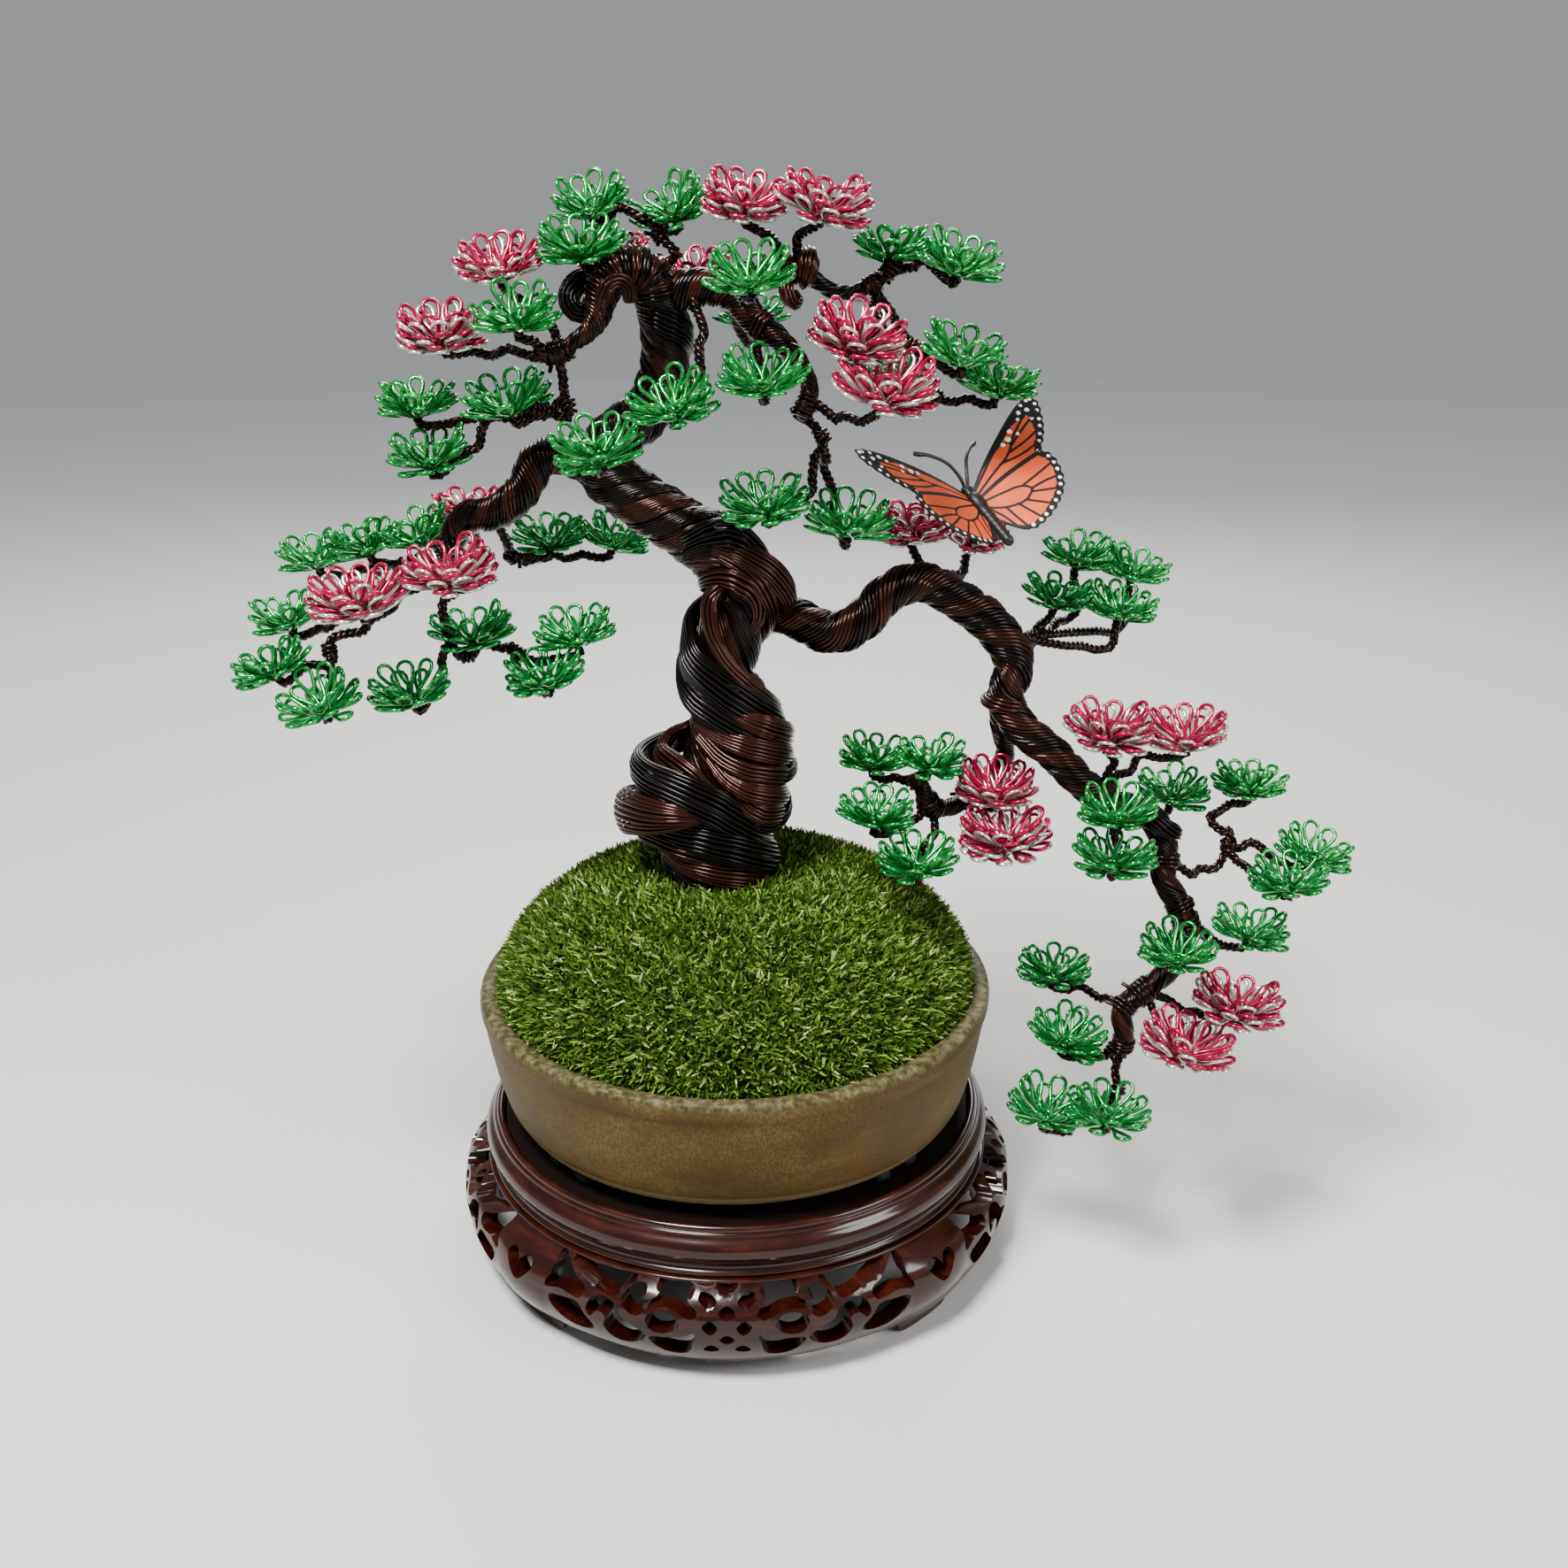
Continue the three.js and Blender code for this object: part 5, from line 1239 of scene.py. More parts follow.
def turned(name, outline, steps=160, wobble=0.0):
    """An outline of radius and height swept round the pot's axis."""
    rings = []
    for angle in FULL_TURN * np.arange(steps) / steps:
        ring = []
        for radius, height in outline:
            out_of_round = math.sin(WOBBLES * angle + height * WOBBLE_CREEP)
            r = radius + wobble * out_of_round * min(radius / WOBBLE_FULL_MM, 1)
            ring.append((r * math.sin(angle), -r * math.cos(angle), height))
        rings.append(ring)
    return skin(name, rings)


print("helpers for turned shapes ready")

# %% [markdown]
# The ground under the blades is a dome, a little flat on top and not quite round. Blades set on
# bare air would show gaps, and a smooth green dome alone would look like plastic. The dome takes
# the turf's darkest tone, painted shade between the blades.

# %% The dome of turf
MOUND_TOP, MOUND_EDGE, MOUND_RADIUS = 139, 95, 81
MOUND_SWELL = 0.92
dome = [(0, MOUND_EDGE - 4), (MOUND_RADIUS, MOUND_EDGE - 4)]
for angle in np.linspace(0, 1, 24) * math.pi / 2:
    lift = (MOUND_TOP - MOUND_EDGE) * math.sin(angle) ** MOUND_SWELL
    dome.append((MOUND_RADIUS * math.cos(angle), MOUND_EDGE + lift))
ground = turned("turf_ground", dome, 96, 0.5)
mound = grown("turf", ground.data.copy(), blades, Density=1.65e6, Length_mm=4.1, Width_mm=1.1,
              Lean=1.3, Seed=11, Material=turf.material)
bpy.data.objects.remove(ground)
dressed(mound, "moss_mound")
print(mound.name, faces_in(mound), "faces")

# %% [markdown]
# ## Pot
# The pot is stoneware in an olive glaze that leaves the foot bare. A painted picture could show
# that, but here it is worked out: noise in three sizes mottles the colour, and the bead, the bare
# foot and the rim are found from the height above the floor. The bead's light band is a painted
# highlight, and the rim is worn glaze lightened by a painted highlight.

# %% Glaze
glaze = Finish("pot_glaze", Specular_IOR_Level=0.08)
height = glaze.node("ShaderNodeSeparateXYZ", {}, {0: glaze.place()}, 2)
blotch = glaze.noise(26, 5, glaze.stretched(1, 1, 1.8), 0.65)
streaks = glaze.noise(1500, 3, glaze.stretched(1, 1, 0.5), 0.7)
rust = glaze.noise(11, 2)
olive = glaze.ramp(blotch, (0.35, (0.054, 0.034, 0.010, 1)), (0.5, (0.075, 0.050, 0.015, 1)),
                   (0.66, (0.11, 0.078, 0.027, 1)))
olive = glaze.mix((streaks * 6 - 2.6).between(0.0, 0.7), olive, (0.046, 0.026, 0.006, 1))
olive = glaze.mix((rust * 4 - 2.2).between(0.0, 0.6), olive, (0.12, 0.052, 0.011, 1))
print("glaze body:", len(glaze.tree.nodes), "nodes")

# %% [markdown]
# The rolled bead above the foot, the bare foot and the rim are bands of height. The bead is
# lightened as a painted highlight, and the rim's mottling is worn glaze lightened by a painted
# highlight. Each is a straight ramp held between two limits, so no edge is drawn sharper than a
# brush would leave it.

# %% Bead, foot and rim of the glaze
BARE_BELOW, BEAD_FROM, BEAD_TO, RIM_FROM = 0.0547, 0.0545, 0.0585, 0.0945
bead = (BEAD_TO - height) * 900
bead = (bead * (height - BEAD_FROM) * 900).between(0.0, 0.6)
bare = ((BARE_BELOW - height) * 4000).between(0.0, 1.0)
rim = ((height - RIM_FROM) * 600).between(0.0, 1.0)
rim_mottle = glaze.noise(400, 4, None, 0.65)
# The rim's ramp is lighter than the olive: partly worn glaze, partly a painted highlight.
worn_rim_and_highlight = glaze.ramp(rim_mottle, (0.38, (0.032, 0.025, 0.008, 1)), (0.5, (0.060, 0.052, 0.022, 1)),
                  (0.68, (0.125, 0.114, 0.062, 1)))
# Painted highlight: the bead's band is lightened.
olive = glaze.mix(bead, olive, (0.15, 0.115, 0.055, 1))
olive = glaze.mix(bare, olive, (0.016, 0.018, 0.023, 1))
olive = glaze.mix(rim, olive, worn_rim_and_highlight)
relief = streaks * 0.6 + blotch + rim * rim_mottle
glaze.feed(Base_Color=olive, Roughness=blotch * 0.3 - rim * 0.12 + 0.36,
           Normal=glaze.bump(relief, 0.4, 0.0006))
print("finish", glaze.material.name)

# %% [markdown]
# The pot's wall is one closed outline, inside and out. It stands on four notched feet, each made
# of two rounded lobes side by side.

# %% Pot body and feet
WALL = [(0, 54.3), (78.8, 54.3), (80.6, 56.6), (82.4, 60), (85.2, 70), (87.2, 80), (88.2, 86),
        (88.6, 89.4), (89.6, 91.6), (89.9, 94.8), (89.2, 97.1), (86.6, 97.5), (83.4, 96.6),
        (82.4, 93), (74, 60), (0, 60)]
LOBE_SIZE, LOBE_AT, LOBE_ROUND = (8.6, 11, 5), (0, -73, 52.2), 0.22
FEET_TURNED, LOBES_APART = 43, 5
pot_parts = [turned("pot_body", eased(WALL, 1.2), 176, 0.25)]
for quarter in range(4):
    for side_step in (-1, 1):
        azimuth = math.radians(quarter * 90 + FEET_TURNED + LOBES_APART * side_step)
        lobe = bmesh.new()
        bmesh.ops.create_cube(lobe, size=1)
        bmesh.ops.bevel(lobe, geom=lobe.edges[:], offset=LOBE_ROUND, segments=3, affect="EDGES")
        corners = np.array([v.co for v in lobe.verts], float) * LOBE_SIZE + LOBE_AT
        turn = np.array([[math.cos(azimuth), -math.sin(azimuth), 0],
                         [math.sin(azimuth), math.cos(azimuth), 0], [0, 0, 1]])
        faces = [[v.index for v in face.verts] for face in lobe.faces]
        pot_parts.append(piece_of("pot_lobe", mesh_of("pot_lobe", corners @ turn.T, faces)))
        lobe.free()
pot = dressed(joined("pot_glazed", pot_parts), "pot", glaze)
print(pot.name, faces_in(pot), "faces")

# %% [markdown]
# ## Stand
# The stand is dark red wood under a glossy lacquer. The grain is a noise stretched up and down.
# The lacquer is a coat over it, so the wood itself can stay dull.

# %% Lacquered wood
wood = Finish("rosewood", Specular_IOR_Level=0.06, Coat_Weight=0.65, Coat_Roughness=0.13)
grain = wood.noise(70, 5, wood.stretched(1, 1, 7), 0.6)
pores = wood.noise(600, 2, wood.stretched(1, 1, 6))
tint = wood.ramp(grain, (0.3, (0.006, 0.0010, 0.0005, 1)), (0.5, (0.015, 0.0020, 0.0009, 1)),
                 (0.75, (0.038, 0.0066, 0.0026, 1)))
wood.feed(Base_Color=tint, Roughness=grain * 0.2 + 0.22,
          Normal=wood.bump(pores * 0.5 + grain, 0.12, 0.0004))
print("finish", wood.material.name)

# %% [markdown]
# The ring is turned on a lathe, so its outline is made of arcs: from the inside, a lip on the
# apron, a thick torus, a groove, and a bead round the tray. Cutters leave arcs, and bevelled
# blocks would not look turned.

# %% Turned ring
def arc(centre, radius, start, end, steps=10):
    """Points on an arc, with angles in degrees from straight out."""
    angles = np.radians(np.linspace(start, end, steps))
    return [(centre[0] + radius * math.cos(a), centre[1] + radius * math.sin(a)) for a in angles]


RING = [
    (80, 34.5), *arc((88, 35.4), 0.9, -90, 80, 6), (87.4, 37.2),
    *arc((85.8, 43.6), 4.8, -58, 52, 14), (88.2, 47.9), (87.7, 48.5),
    *arc((87, 49), 0.6, -10, 100, 4), (86.4, 49.4), *arc((85.4, 50.2), 1.3, 0, 180, 8),
    (84.1, 43.7), (80, 43.7),
]
ring = dressed(turned("stand_ring_turned", RING, 192), "stand_ring", wood)
print(ring.name, faces_in(ring), "faces")

# %% [markdown]
# The apron is fretwork: four equal panels of scrolls, cut right through. It could be cut with
# booleans, but the cuts would leave poor faces. Here the panel is drawn flat, as angle and
# height, with its openings left out of a fine triangle mesh, and then bent on to the apron's
# bulging outline. The same sheet makes the butterfly's wings.

# %% Points, loops and distances
def inside(point, loop):
    """Whether a point lies in a closed loop."""
    x, y = point
    a, b = loop, np.roll(loop, -1, axis=0)
    crossing = (a[:, 1] > y) != (b[:, 1] > y)
    with np.errstate(divide="ignore", invalid="ignore"):
        at = a[:, 0] + (y - a[:, 1]) / (b[:, 1] - a[:, 1]) * (b[:, 0] - a[:, 0])
    return bool(np.count_nonzero(crossing & (at > x)) % 2)


def distances(points, segments):
    """How far each point lies from the nearest of some segments."""
    start, along = segments[:, 0], segments[:, 1] - segments[:, 0]
    share = ((points[:, None] - start) * along).sum(2) / np.maximum((along ** 2).sum(1), 1e-12)
    nearest = start + along * np.clip(share, 0, 1)[..., None]
    return np.linalg.norm(points[:, None] - nearest, axis=2).min(1)


def staggered(low, high, pitch):
    """Points in staggered rows that fill a rectangle."""
    columns = np.arange(low[0] + pitch / 2, high[0], pitch)
    rows = np.arange(low[1] + pitch / 2, high[1], pitch)
    return np.array([(x + (0.25 if j % 2 else -0.25) * pitch, y)
                     for j, y in enumerate(rows) for x in columns])


print("helpers for points and loops ready")

# %% [markdown]
# The outline, the openings and any drawn lines become fixed edges. Points in staggered rows fill
# the sheet between them, and a Delaunay triangulation joins all of it. Triangles whose middle
# lies in an opening are left out.

# %% The sheet itself
CLEAR_OF_EDGES = 0.45


def sheet_with_openings(outline, openings, pitch, lines=()):
    """Points and triangles of a flat sheet, fine enough to be bent."""
    loops = [np.array(loop, float) for loop in [outline, *openings]]
    points, edges = [], []
    for drawn in [*loops, *lines]:
        first = len(points)
        points += [tuple(point) for point in drawn]
        edges += [(i, i + 1) for i in range(first, len(points) - 1)]
        if len(points) <= sum(map(len, loops)):
            edges.append((len(points) - 1, first))
    segments = np.array([(points[a], points[b]) for a, b in edges])
    between = staggered(loops[0].min(0), loops[0].max(0), pitch)
    between = between[distances(between, segments) > pitch * CLEAR_OF_EDGES]
    points += [tuple(point) for point in between if inside(point, loops[0])]
    result = delaunay_2d_cdt([Vector(point) for point in points], edges, [], 0, DOUBLES)
    corners = np.array([(v.x, v.y) for v in result[0]])
    triangles = []
    for face in result[2]:
        middle = corners[list(face)].mean(0)
        if inside(middle, loops[0]) and not any(inside(middle, loop) for loop in loops[1:]):
            triangles.append(tuple(face))
    return corners, triangles


def rim_of(triangles):
    """The edges of a sheet that only one of its triangles uses."""
    uses = {}
    for a, b, c in triangles:
        for pair in ((a, b), (b, c), (c, a)):
            pair = tuple(sorted(pair))
            uses[pair] = uses.get(pair, 0) + 1
    return [pair for pair, count in uses.items() if count == 1]


print("helper for sheets ready")

# %% [markdown]
# Half a panel is drawn and mirrored. Each row below is an opening: how many millimetres wider it
# is cut than drawn, and its points as degrees from the panel's middle and height. The openings
# that lie on the middle or on the seam to the next panel are halves.

# %% The openings of half a panel
APRON_RADIUS = 97
ARC_MM = APRON_RADIUS * math.pi / 180
HALF_PANEL = 45 * ARC_MM
ON_EDGE_MM = 0.2
SCROLLS = {
    "notch": (0.15, [(-0.01, 34.4), (2.4, 34.4), (1.6, 33), (-0.01, 32)]),
    "tear": (0.15, [(2, 30.4), (3.2, 31.8), (5, 32), (5.5, 31), (4.6, 29.8), (3.5, 29.1)]),
    "keyhole": (0.15, [(-0.01, 29.6), (0.9, 29), (1.6, 28), (1.1, 27), (-0.01, 26.4)]),
    "diamond": (0.15, [(1.8, 23.6), (3.1, 25.6), (4.5, 23.7), (3, 21)]),
    "low_diamond": (0.15, [(-0.01, 20.8), (1.3, 19.1), (-0.01, 17.6)]),
    "small": (0.15, [(1.5, 14.9), (2.9, 16.8), (4.3, 14.6), (3, 14)]),
    "big": (0.6, [(6.6, 32.6), (13.8, 32.8), (13, 31.5), (13.2, 30), (15.4, 28.6), (16.8, 29.3),
                  (16, 30.6), (16.2, 31.6), (17.8, 31.7), (19.3, 30.4), (19.9, 28.2), (19, 26),
                  (17, 24.9), (15.4, 27.4), (13.1, 28.4), (9.8, 28), (6.8, 26.2), (5.8, 27.6),
                  (7.4, 29.3), (7.8, 30.8)]),
    "eye": (0.45, [(9, 23.7), (10.6, 26.2), (13.3, 26.2), (15, 23.8), (13.8, 20.8), (11.4, 20.6)]),
    "volute": (0.6, [(15.4, 17.8), (18.2, 20.6), (20.2, 22.4), (21.6, 26), (23.8, 27.2),
                     (25.8, 26.4), (27, 22.6), (26.6, 20.6), (25.3, 23), (23.6, 23), (22.8, 21.2),
                     (23.2, 17.9), (21.2, 13.8), (18.2, 14)]),
    "low_slit": (0.6, [(6, 20.6), (8, 19), (11.4, 18), (14.2, 17.4), (11.6, 12.6), (7.6, 12.8),
                       (6.6, 17.6)]),
    "upper": (0.6, [(18.4, 33), (33.4, 32.9), (30.6, 32), (27.4, 30.6), (25, 29.4), (21.8, 28.9),
                    (21, 30.9), (19.6, 32.2)]),
    "star": (0.6, [(36.6, 32.8), (36.1, 30), (36.2, 27.6), (37.2, 24.4), (33.8, 25.9), (30.5, 25.2),
                   (29, 25.4), (28.5, 27.8), (30.8, 29.2), (33, 31)]),
    "low_leaf": (0.6, [(26, 15.6), (30, 13.6), (33.6, 15.6), (36, 21), (32.6, 22.4), (29.4, 22.6),
                       (28, 19.6)]),
    "heart": (0.3, [(45.01, 25.8), (43.8, 28.4), (42.2, 28.8), (41.4, 27), (42.4, 24.4),
                    (44.2, 21.4), (45.01, 21)]),
}


def rounded_loop(points, steps=3):
    """A closed outline drawn smooth through its points, in millimetres along the apron."""
    points = [(angle * ARC_MM, height, 0, 0) for angle, height in points]
    extended = points[-2:] + points + points[:2]
    return flowing(extended, steps)[2 * steps:-steps - 1, :2]


def widened(loop, by):
    """A loop moved outwards, except where it lies on the panel's middle or its seam."""
    after = np.roll(loop, -1, axis=0)
    along = after - np.roll(loop, 1, axis=0)
    across = np.c_[along[:, 1], -along[:, 0]] / np.linalg.norm(along, axis=1)[:, None]
    turn = np.sign(np.sum(loop[:, 0] * after[:, 1] - after[:, 0] * loop[:, 1]))
    wider = loop + across * turn * by
    wider[loop[:, 0] < ON_EDGE_MM, 0] = 0
    wider[loop[:, 0] > HALF_PANEL - ON_EDGE_MM, 0] = HALF_PANEL
    return wider


openings = [widened(rounded_loop(points), by) for by, points in SCROLLS.values()]
print("openings in half a panel:", len(openings))

# %% [markdown]
# The panel's lower edge curls down into a foot at the seam. Its sides have points in even rows,
# so that two halves meet point to point and can be joined.

# %% Half a panel as a flat sheet
APRON_TOP = 34
LOWER_EDGE = [(-0.01, 4.6), (3, 5.4), (5, 7.6), (9, 8.8), (16, 8.2), (23, 9.6), (29, 9.8),
              (33, 8.6), (36.4, 5.2), (38.6, 0.2), (45.01, 0.2)]
lower = np.array([(angle * ARC_MM, height) for angle, height in LOWER_EDGE])
lower = flowing(np.c_[lower, lower * 0], 4)[:, :2]
rows = np.linspace(APRON_TOP, 0, 36)[1:-1]
outline = np.array([*lower, *((HALF_PANEL, z) for z in rows[::-1] if z > 0.5),
                    *((x, APRON_TOP) for x in np.linspace(HALF_PANEL, 0, 60)),
                    *((0, z) for z in rows if z > 5)])
outline = np.clip(outline, (0, 0.1), (HALF_PANEL, APRON_TOP))
corners, triangles = sheet_with_openings(outline, openings, 1.0)
print("half a panel:", len(triangles), "triangles")

# %% [markdown]
# Bending turns the distance along the sheet into an angle and the height into a radius. The
# shield over each foot and the knot in the middle of each panel swell out a little. A second
# sheet behind makes the thickness, and strips along the rim of every opening close the two.

# %% Bend the panel into the apron
OUTWARD = [(0, 91.6), (4, 92.4), (10, 96.8), (16, 99.2), (21, 99.6), (27, 98), (31, 94.4),
           (34.2, 88.8)]
APRON_TURNED = -2.4
APRON_THICK = 6
SHIELD_SWELL, SHIELD_HALF, SHIELD_FROM, SHIELD_TALL = 1.2, 8, 2, 31
KNOT_SWELL, KNOT_HALF, KNOT_FROM, KNOT_RISES = 0.8, 9, 20, 6
profile = flowing([(height, radius, 0, 0) for height, radius in OUTWARD])
degrees, heights = corners[:, 0] / ARC_MM, corners[:, 1]
base = np.interp(heights, profile[:, 0], profile[:, 1])
shield = np.clip(1 - ((degrees - 45) / SHIELD_HALF) ** 2, 0, 1)
shield *= np.sin(np.clip((heights - SHIELD_FROM) / SHIELD_TALL, 0, 1) * math.pi)
knot = np.clip(1 - (degrees / KNOT_HALF) ** 2, 0, 1)
knot *= np.clip((heights - KNOT_FROM) / KNOT_RISES, 0, 1)
front, behind = base + SHIELD_SWELL * shield + KNOT_SWELL * knot, base - APRON_THICK
on_seam = [np.abs(corners[:, 0] - x) < 1e-4 for x in (0, HALF_PANEL)]
strips = [(a, b) for a, b in rim_of(triangles) if not any(seam[a] and seam[b] for seam in on_seam)]
count = len(corners)
points, faces = [], []
for quarter in range(4):
    for mirror in (1, -1):
        azimuth = np.radians(APRON_TURNED + 90 * quarter + mirror * degrees)
        first = len(points) * count
        for radius, flip in ((front, mirror < 0), (behind, mirror > 0)):
            at = len(points) * count
            points.append(np.c_[radius * np.sin(azimuth), -radius * np.cos(azimuth), heights])
            faces += [(at + a, at + c, at + b) if flip else (at + a, at + b, at + c)
                      for a, b, c in triangles]
        faces += [(first + a, first + b, first + count + b, first + count + a)
                  for a, b in strips]
fret_mesh = healed(mesh_of("apron_fretwork", np.vstack(points), faces), 2 * DOUBLES)
fretwork = piece_of("apron_fretwork", fret_mesh)
fret_mesh.set_sharp_from_angle(angle=math.radians(50))
print(fretwork.name, faces_in(fretwork), "faces")

# %% [markdown]
# A thin bead is turned on the apron's top edge, under the ring. It is one whole turn, so it is
# not part of the panels, and is joined to them as one piece of wood.

# %% The apron's top bead
BEAD = [(87, 33), (90.4, 33), (90.4, 34.4), (87, 34.4)]
bead = turned("apron_bead", eased(BEAD, 0.7), 192)
apron = dressed(joined("stand_apron_carved", [fretwork, bead]), "stand_apron", wood)
print(apron.name, faces_in(apron), "faces")

# %% [markdown]
# ## Butterfly
# The butterfly is a moulded body with a printed film wing pair on each side. The print is drawn
# by the material: each point of a wing knows how far it is from the edge, from the nearest vein
# and from the nearest white spot, so the print needs no picture. It is a plain pattern of orange
# cells between black veins, with a black margin that grows wider to the tip.

# %% Print of the wings
VEIN_HALF, PRINT_EDGE, MARGIN_EDGE, SPOT_EDGE = 0.36, 0.14, 0.3, 0.2
LEAST_MARGIN, GROWS_FROM, GROWTH, MOST_GROWN, TIP_MARGIN = 0.7, 13, 0.16, 1.6, 5
film = Finish("butterfly_wing", Roughness=0.45, Specular_IOR_Level=0.22)


def soft(value, width):
    """1 where a value is below 0, and 0 above a width."""
    return (1 - value / width).between(0.0, 1.0)


orange = film.ramp(film.noise(90), (0.35, (0.46, 0.055, 0.012, 1)),
                   (0.65, (0.58, 0.085, 0.02, 1)))
margin = ((film.attribute("root") - GROWS_FROM) * GROWTH).between(0.0, MOST_GROWN)
margin = margin + film.attribute("tip") * TIP_MARGIN + LEAST_MARGIN
dark = soft(film.attribute("vein") - VEIN_HALF, PRINT_EDGE)
dark = dark.math("MAXIMUM", soft(film.attribute("edge") - margin, MARGIN_EDGE))
printed = film.mix(dark, orange, (0.006, 0.005, 0.005, 1))
printed = film.mix(soft(film.attribute("spot"), SPOT_EDGE), printed, (0.85, 0.83, 0.80, 1))
film.feed(Base_Color=printed)
print("finish", film.material.name)

# %% [markdown]
# A wing pair is drawn flat, in millimetres from its root: x out along the wing and y to the
# head. The spots are x, y and radius.

# %% Drawing of a wing
WING_OUTLINE = [(0, 4), (10, 11), (20, 17), (32, 23.4), (37.6, 25.4), (40.6, 25.2), (41.4, 21.6),
                (39.4, 17), (36.4, 12), (33, 8.2), (30.2, 5.4), (31.5, 3.2), (31.9, 0.8),
                (31.4, -2.6), (30.2, -6), (28.4, -9), (25.8, -11.6), (22.6, -13.8), (19, -15.6),
                (15.2, -16.8), (11.2, -17.4), (8.2, -16.6), (6, -14.6), (2.8, -10), (0, -5)]
SPOTS = [(20.5, 13.6, 0.7), (23.2, 14.4, 0.95), (25.6, 16.8, 0.8), (27.4, 14.6, 0.6),
         (33, 21.4, 0.7), (36.2, 21, 0.75), (35.4, 17.4, 0.6), (31, 19.4, 0.55)]
VEINS = [
    [(0, 3), (9, 8.6), (18, 14), (28, 19), (38, 23)],
    [(0, 2), (10, 6), (20, 10), (23, 13), (20, 14.4)], [(22, 11.6), (30, 15.4), (39.6, 19.4)],
    [(23, 13), (31, 18), (39, 22)], [(20, 10), (28, 11), (37.4, 13.6)],
    [(15, 8), (24, 7.4), (33.6, 9)], [(0, 1), (12, 3), (30, 4.8)], [(2, 1.6), (12, 3.7), (30, 5.5)],
    [(0, 0), (8, -1), (16, -2.6), (18, -5), (14, -7.4), (7, -6), (0, -1)],
    [(16, -2.6), (23, -1.6), (31.8, 0)], [(18, -5), (24, -5), (31, -6)],
    [(17.4, -6), (22, -8), (28.6, -10.6)], [(14, -7.4), (18, -11), (22.6, -15.2)],
    [(11, -7), (13, -12), (15.4, -17.6)], [(7, -6), (7.6, -10), (9, -17)],
    [(2, -3), (4.4, -8), (6, -14)],
]
print(len(VEINS), "veins")

# %% [markdown]
# The outer margin is scalloped, and a white spot sits in each scallop. They could be drawn one
# by one, but both are found from the length run along the edge, from a little before the wing's
# apex to near its root.

# %% Scalloped edge and veins
LOBE_MM, SCALLOP_MM, SPOT_INSET, SPOT_RADIUS = 3.3, 0.3, 1.25, 0.55
MARGIN_EARLY, MARGIN_ENDS = 6, 22
APEX = (40.6, 25.2)
wing_loop = flowing([(*point, 0, 0) for point in WING_OUTLINE + WING_OUTLINE[:1]], 6)[:-1, :2]
run = run_along(wing_loop)
margin_from, margin_to = run[WING_OUTLINE.index(APEX) * 6], run[-1] - MARGIN_ENDS
along = np.gradient(wing_loop, axis=0)
across = np.c_[-along[:, 1], along[:, 0]] / np.linalg.norm(along, axis=1)[:, None]
for spot_run in np.arange(margin_from - MARGIN_EARLY, margin_to, LOBE_MM):
    at = np.abs(run - spot_run).argmin()
    SPOTS.append((*(wing_loop[at] - across[at] * SPOT_INSET), SPOT_RADIUS))
scallop = SCALLOP_MM * np.cos((run - margin_from) / LOBE_MM * FULL_TURN)
scallop *= (run > margin_from - MARGIN_EARLY) & (run < margin_to)
wing_loop = wing_loop + across * scallop[:, None]
veins = [flowing([(*point, 0, 0) for point in vein], 6)[:, :2] for vein in VEINS]
print(len(SPOTS), "white spots")

# %% [markdown]
# The butterfly sits on its peg with its head to the upper left. Three directions that stand
# square on each other, beside, along and above its body, turn drawn points into points on the
# tree.

# %% Where the butterfly sits
BUTTERFLY = (79.5, 1, 263)
heading = Vector((-0.54, 0.58, 0.61)).normalized()
back = Vector((0.4, -0.46, 0.79))
back = (back - heading * back.dot(heading)).normalized()
frame_of_body = np.array([heading.cross(back), heading, back])


def on_butterfly(points):
    """Points beside, along and above the butterfly's body, as points on the tree."""
    return np.array(points) @ frame_of_body + BUTTERFLY


print("butterfly at", BUTTERFLY)

# %% [markdown]
# The sheet gets a slight camber and a second layer below, and is lifted to the angle at which
# the wing stands. A Solidify modifier could thicken it, but then the distances that draw the
# print would have to be measured again on the new points.

# %% Wings
WING_LIFT = {"right": (1, 28), "left": (-1, 10)}
CAMBER, DROOP, WING_MM = 1.2, 0.02, 41
LAYERS = (-0.35, -0.65)
TIP_AT, TIP_FADES_MM = (40, 24), 14


def wing_mesh(side, lift):
    """One wing pair as a thin closed shell that carries the distances for its print."""
    points, triangles = sheet_with_openings(wing_loop, [], 0.5, veins)
    x, y = points.T
    camber = CAMBER * np.sin(np.clip(x / WING_MM, 0, 1) * math.pi) - DROOP * np.abs(y)
    cosine, sine = math.cos(math.radians(lift)), math.sin(math.radians(lift))
    layers = [np.c_[side * (x * cosine - up * sine), y, x * sine + up * cosine]
              for up in (camber + layer for layer in LAYERS)]
    count = len(points)
    faces = [face if side > 0 else face[::-1] for face in triangles]
    faces += [tuple(i + count for i in face[::-1]) for face in faces]
    faces += [(a, b, b + count, a + count) for a, b in rim_of(triangles)]
    edge = np.stack([wing_loop, np.roll(wing_loop, -1, axis=0)], 1)
    lines = np.vstack([np.stack([vein[:-1], vein[1:]], 1) for vein in veins])
    spots = [np.linalg.norm(points - spot[:2], axis=1) - spot[2] for spot in SPOTS]
    tip = np.clip(1 - np.linalg.norm(points - TIP_AT, axis=1) / TIP_FADES_MM, 0, 1)
    marks = {"edge": distances(points, edge), "vein": distances(points, lines), "tip": tip,
             "spot": np.min(spots, axis=0), "root": np.linalg.norm(points, axis=1)}
    marks = {key: np.tile(values, 2) for key, values in marks.items()}
    return healed(marked(mesh_of("wing", on_butterfly(np.vstack(layers)), faces), **marks))


for name, (side, lift) in WING_LIFT.items():
    wing = piece_of(f"wing_{name}", wing_mesh(side, lift))
    dressed(wing, f"butterfly_wing_{name}", film)
    print(wing.name, faces_in(wing), "faces")

# %% [markdown]
# The body is one moulding with a ringed tail. It is a skin over rings like the pot, only along
# the butterfly's own heading. The rows below are a place along the body and a radius.

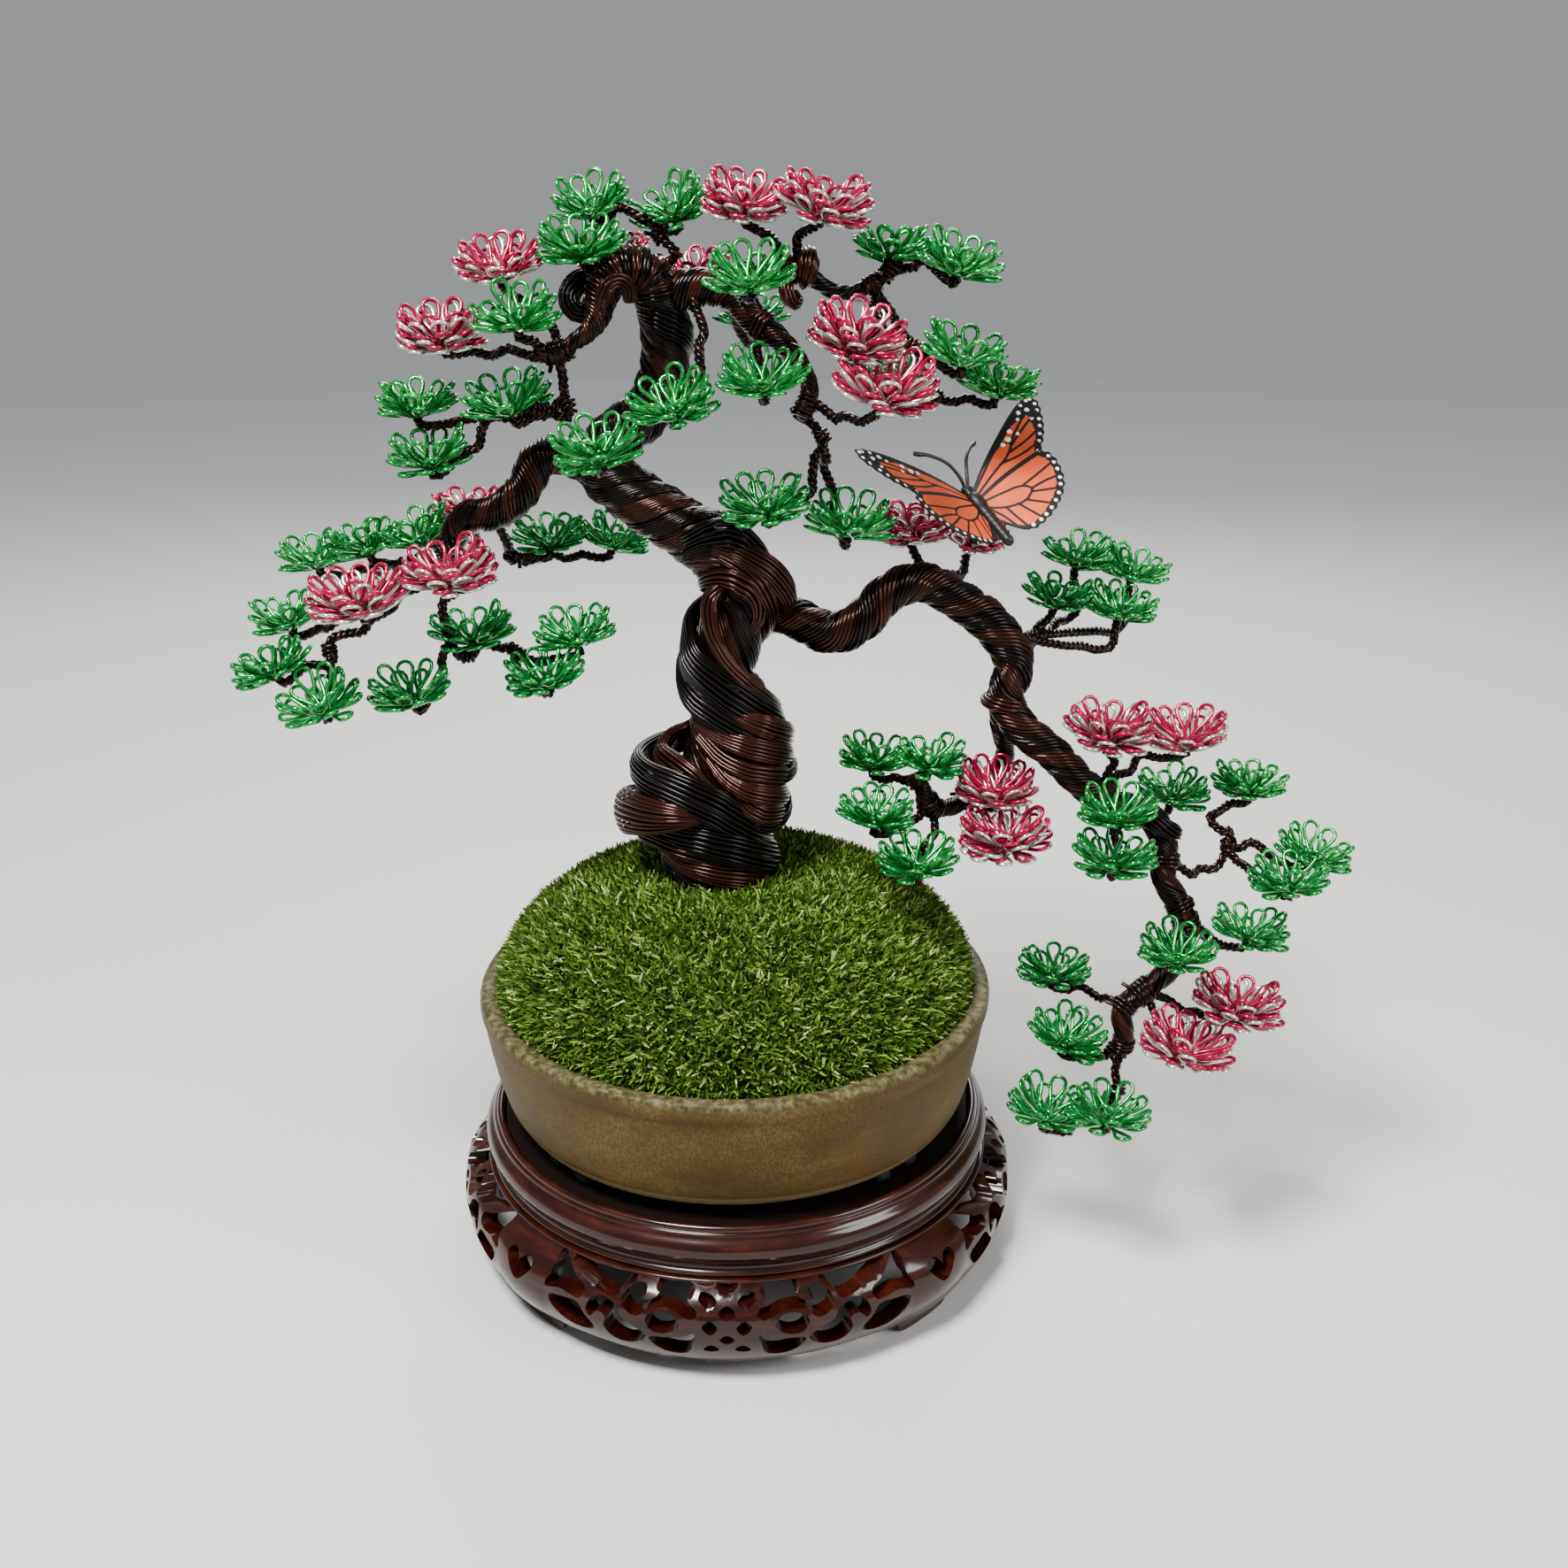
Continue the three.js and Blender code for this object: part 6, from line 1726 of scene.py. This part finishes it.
# %% Body
TAIL_RINGS, RING_MM, TAIL_FROM = 7, 1.9, -17
TAIL_GIRTH, TAIL_SWELLS, GROOVE_MM = 1.95, 0.09, 0.3
BODY_SIDES, BODY_FLAT = 20, 0.95
plastic = Finish("butterfly_body", Roughness=0.4, Specular_IOR_Level=0.3)
plastic.feed(Base_Color=plastic.mix(plastic.noise(500, 2), (0.004, 0.004, 0.004, 1),
                                    (0.012, 0.010, 0.009, 1)))
BODY = [(-18.4, 0), (-17.9, 1.1)]
for index in range(TAIL_RINGS):
    start, girth = TAIL_FROM + index * RING_MM, TAIL_GIRTH + TAIL_SWELLS * index
    BODY += [(start, girth - GROOVE_MM), (start + 0.8, girth), (start + 1.5, girth - 0.04)]
BODY += [(-3.4, 2.3), (-2, 2.7), (0, 2.95), (2, 2.8), (3.4, 2.2), (4.2, 1.75), (5, 2),
         (6.4, 2), (7.4, 1.3), (7.9, 0)]
around = FULL_TURN * np.arange(BODY_SIDES) / BODY_SIDES
rings = [on_butterfly(np.c_[radius * np.cos(around), np.full(BODY_SIDES, along_body),
                            radius * np.sin(around) * BODY_FLAT]) for along_body, radius in BODY]
moulding = [skin("butterfly_moulding", rings, closed=False)]
print("moulding", faces_in(*moulding), "faces")

# %% [markdown]
# The antennae and eyes are drawn curves with a round section and capped ends. They become plain
# meshes before they are joined to the body.

# %% Antennae and eyes
def rod(name, points):
    """A thin rod through points of x, y, z and radius, with closed ends."""
    curve = bpy.data.curves.new(name, "CURVE")
    curve.dimensions, curve.bevel_depth, curve.bevel_resolution = "3D", MM, 2
    curve.use_fill_caps = True
    line = flowing(points, 4)
    spline = curve.splines.new("POLY")
    spline.points.add(len(line) - 1)
    for point, place, radius in zip(spline.points, placed(on_butterfly(line[:, :3])), line[:, 3]):
        point.co, point.radius = (*place, 1), max(radius, 0.1)
    return set_plain(name, shown(name, curve))


ANTENNA = [(0.7, 6.4, 0.6, 0.62), (1.8, 9.8, 2.6, 0.6), (4.8, 15, 4.4, 0.58),
           (10.6, 19.4, 4.7, 0.62), (13.6, 20.6, 4.4, 0.84), (15, 21.4, 4.2, 0.8)]
EYE = [(1.2, 5.5, 0.5, 0.8), (1.4, 6.2, 0.6, 0.95), (1.4, 6.9, 0.6, 0.7)]
for side in (1, -1):
    for name, points in (("antenna", ANTENNA), ("eye", EYE)):
        moulding.append(rod(name, [(side * x, *rest) for x, *rest in points]))
body = joined("butterfly_body_moulded", moulding)
dressed(body, "butterfly_body", plastic)
print(body.name, faces_in(body), "faces")

# %% [markdown]
# ## What stays of the model
# The tray, the filler and the butterfly's peg are plain shapes, mostly out of sight. They stay
# as they are and only get a finish. The tray's finish is near black, which is painted shade.

# %% Finishes for the model's own parts
# The tray's wood is painted near black: painted shade.
tray_wood = Finish("tray_wood", Roughness=0.6, Specular_IOR_Level=0.1)
grain = tray_wood.noise(60, 4, tray_wood.stretched(1, 6, 1))
tray_wood.feed(Base_Color=tray_wood.mix(grain, (0.0015, 0.0006, 0.0005, 1),
                                        (0.006, 0.002, 0.0012, 1)))
filler = Finish("filler", Roughness=0.9)
filler.feed(Base_Color=filler.mix(filler.noise(90, 4), (0.32, 0.29, 0.25, 1),
                                  (0.45, 0.42, 0.37, 1)))
KEPT = {"stand_tray": tray_wood, "pot_filler": filler, "butterfly_peg": bark}
for name, finish in KEPT.items():
    materials = frame["nodes"][name].data.materials
    materials.clear()
    materials.append(finish.material)
print("kept from the model:", ", ".join(KEPT))

# %% [markdown]
# ## Setting
# The floor is plain and pale. It is painted a little darker near the tree, where the lamps are
# strong, so that it comes out as an even pale grey. Three soft lamps and a pale sky let the
# wire's highlights show. Each lamp is a place, a size in metres and a power in watts.

# %% Floor and light
FLOOR_HALF = 3000
floor_finish = Finish("floor", Roughness=0.8, Specular_IOR_Level=0.2)
away = floor_finish.node("ShaderNodeVectorMath", {"operation": "LENGTH"},
                         {0: floor_finish.place()}, 1)
floor_finish.feed(Base_Color=floor_finish.ramp(away / 3, (0.15, (0.54, 0.53, 0.51, 1)),
                                               (0.7, (0.86, 0.87, 0.88, 1))))
square = [(x * FLOOR_HALF, y * FLOOR_HALF, 0) for x, y in ((-1, -1), (1, -1), (1, 1), (-1, 1))]
floor = piece_of("floor", mesh_of("floor", square, [(0, 1, 2, 3)]), smooth=False)
floor.data.materials.append(floor_finish.material)

world = bpy.data.worlds.new("studio")
bpy.context.scene.world = world
world.use_nodes = True
sky = world.node_tree.nodes["Background"].inputs
sky["Color"].default_value, sky["Strength"].default_value = (0.84, 0.86, 0.87, 1), 0.4
LIGHTS = {"key": ((-300, -420, 1100), 0.3, 38), "fill": ((800, -500, 700), 0.45, 9),
          "back": ((100, 900, 900), 0.6, 12)}
LIT_POINT = (0, 0, 180)
for name, (place, size, power) in LIGHTS.items():
    lamp = bpy.data.lights.new(name, "AREA")
    lamp.size, lamp.energy = size, power
    light = shown(name, lamp)
    light.location = placed(place)
    aim = Vector(placed(LIT_POINT)) - light.location
    light.rotation_euler = aim.to_track_quat("-Z", "Y").to_euler()
print(len(LIGHTS), "lamps")

# %% [markdown]
# The camera looks down at the tree a little, as in the photo. Its place and its lens were
# fitted to the ellipses of the pot's rim and of the stand.

# %% Camera
lens = bpy.data.cameras.new("photo")
lens.lens, lens.sensor_width = 36.16, 36
camera = shown("photo", lens)
camera.location = placed((0, -503.3, 353.2))
camera.rotation_euler = (math.radians(69.83), 0, math.radians(-1.949))
bpy.context.scene.camera = camera
print("camera at", [round(value, 4) for value in camera.location])
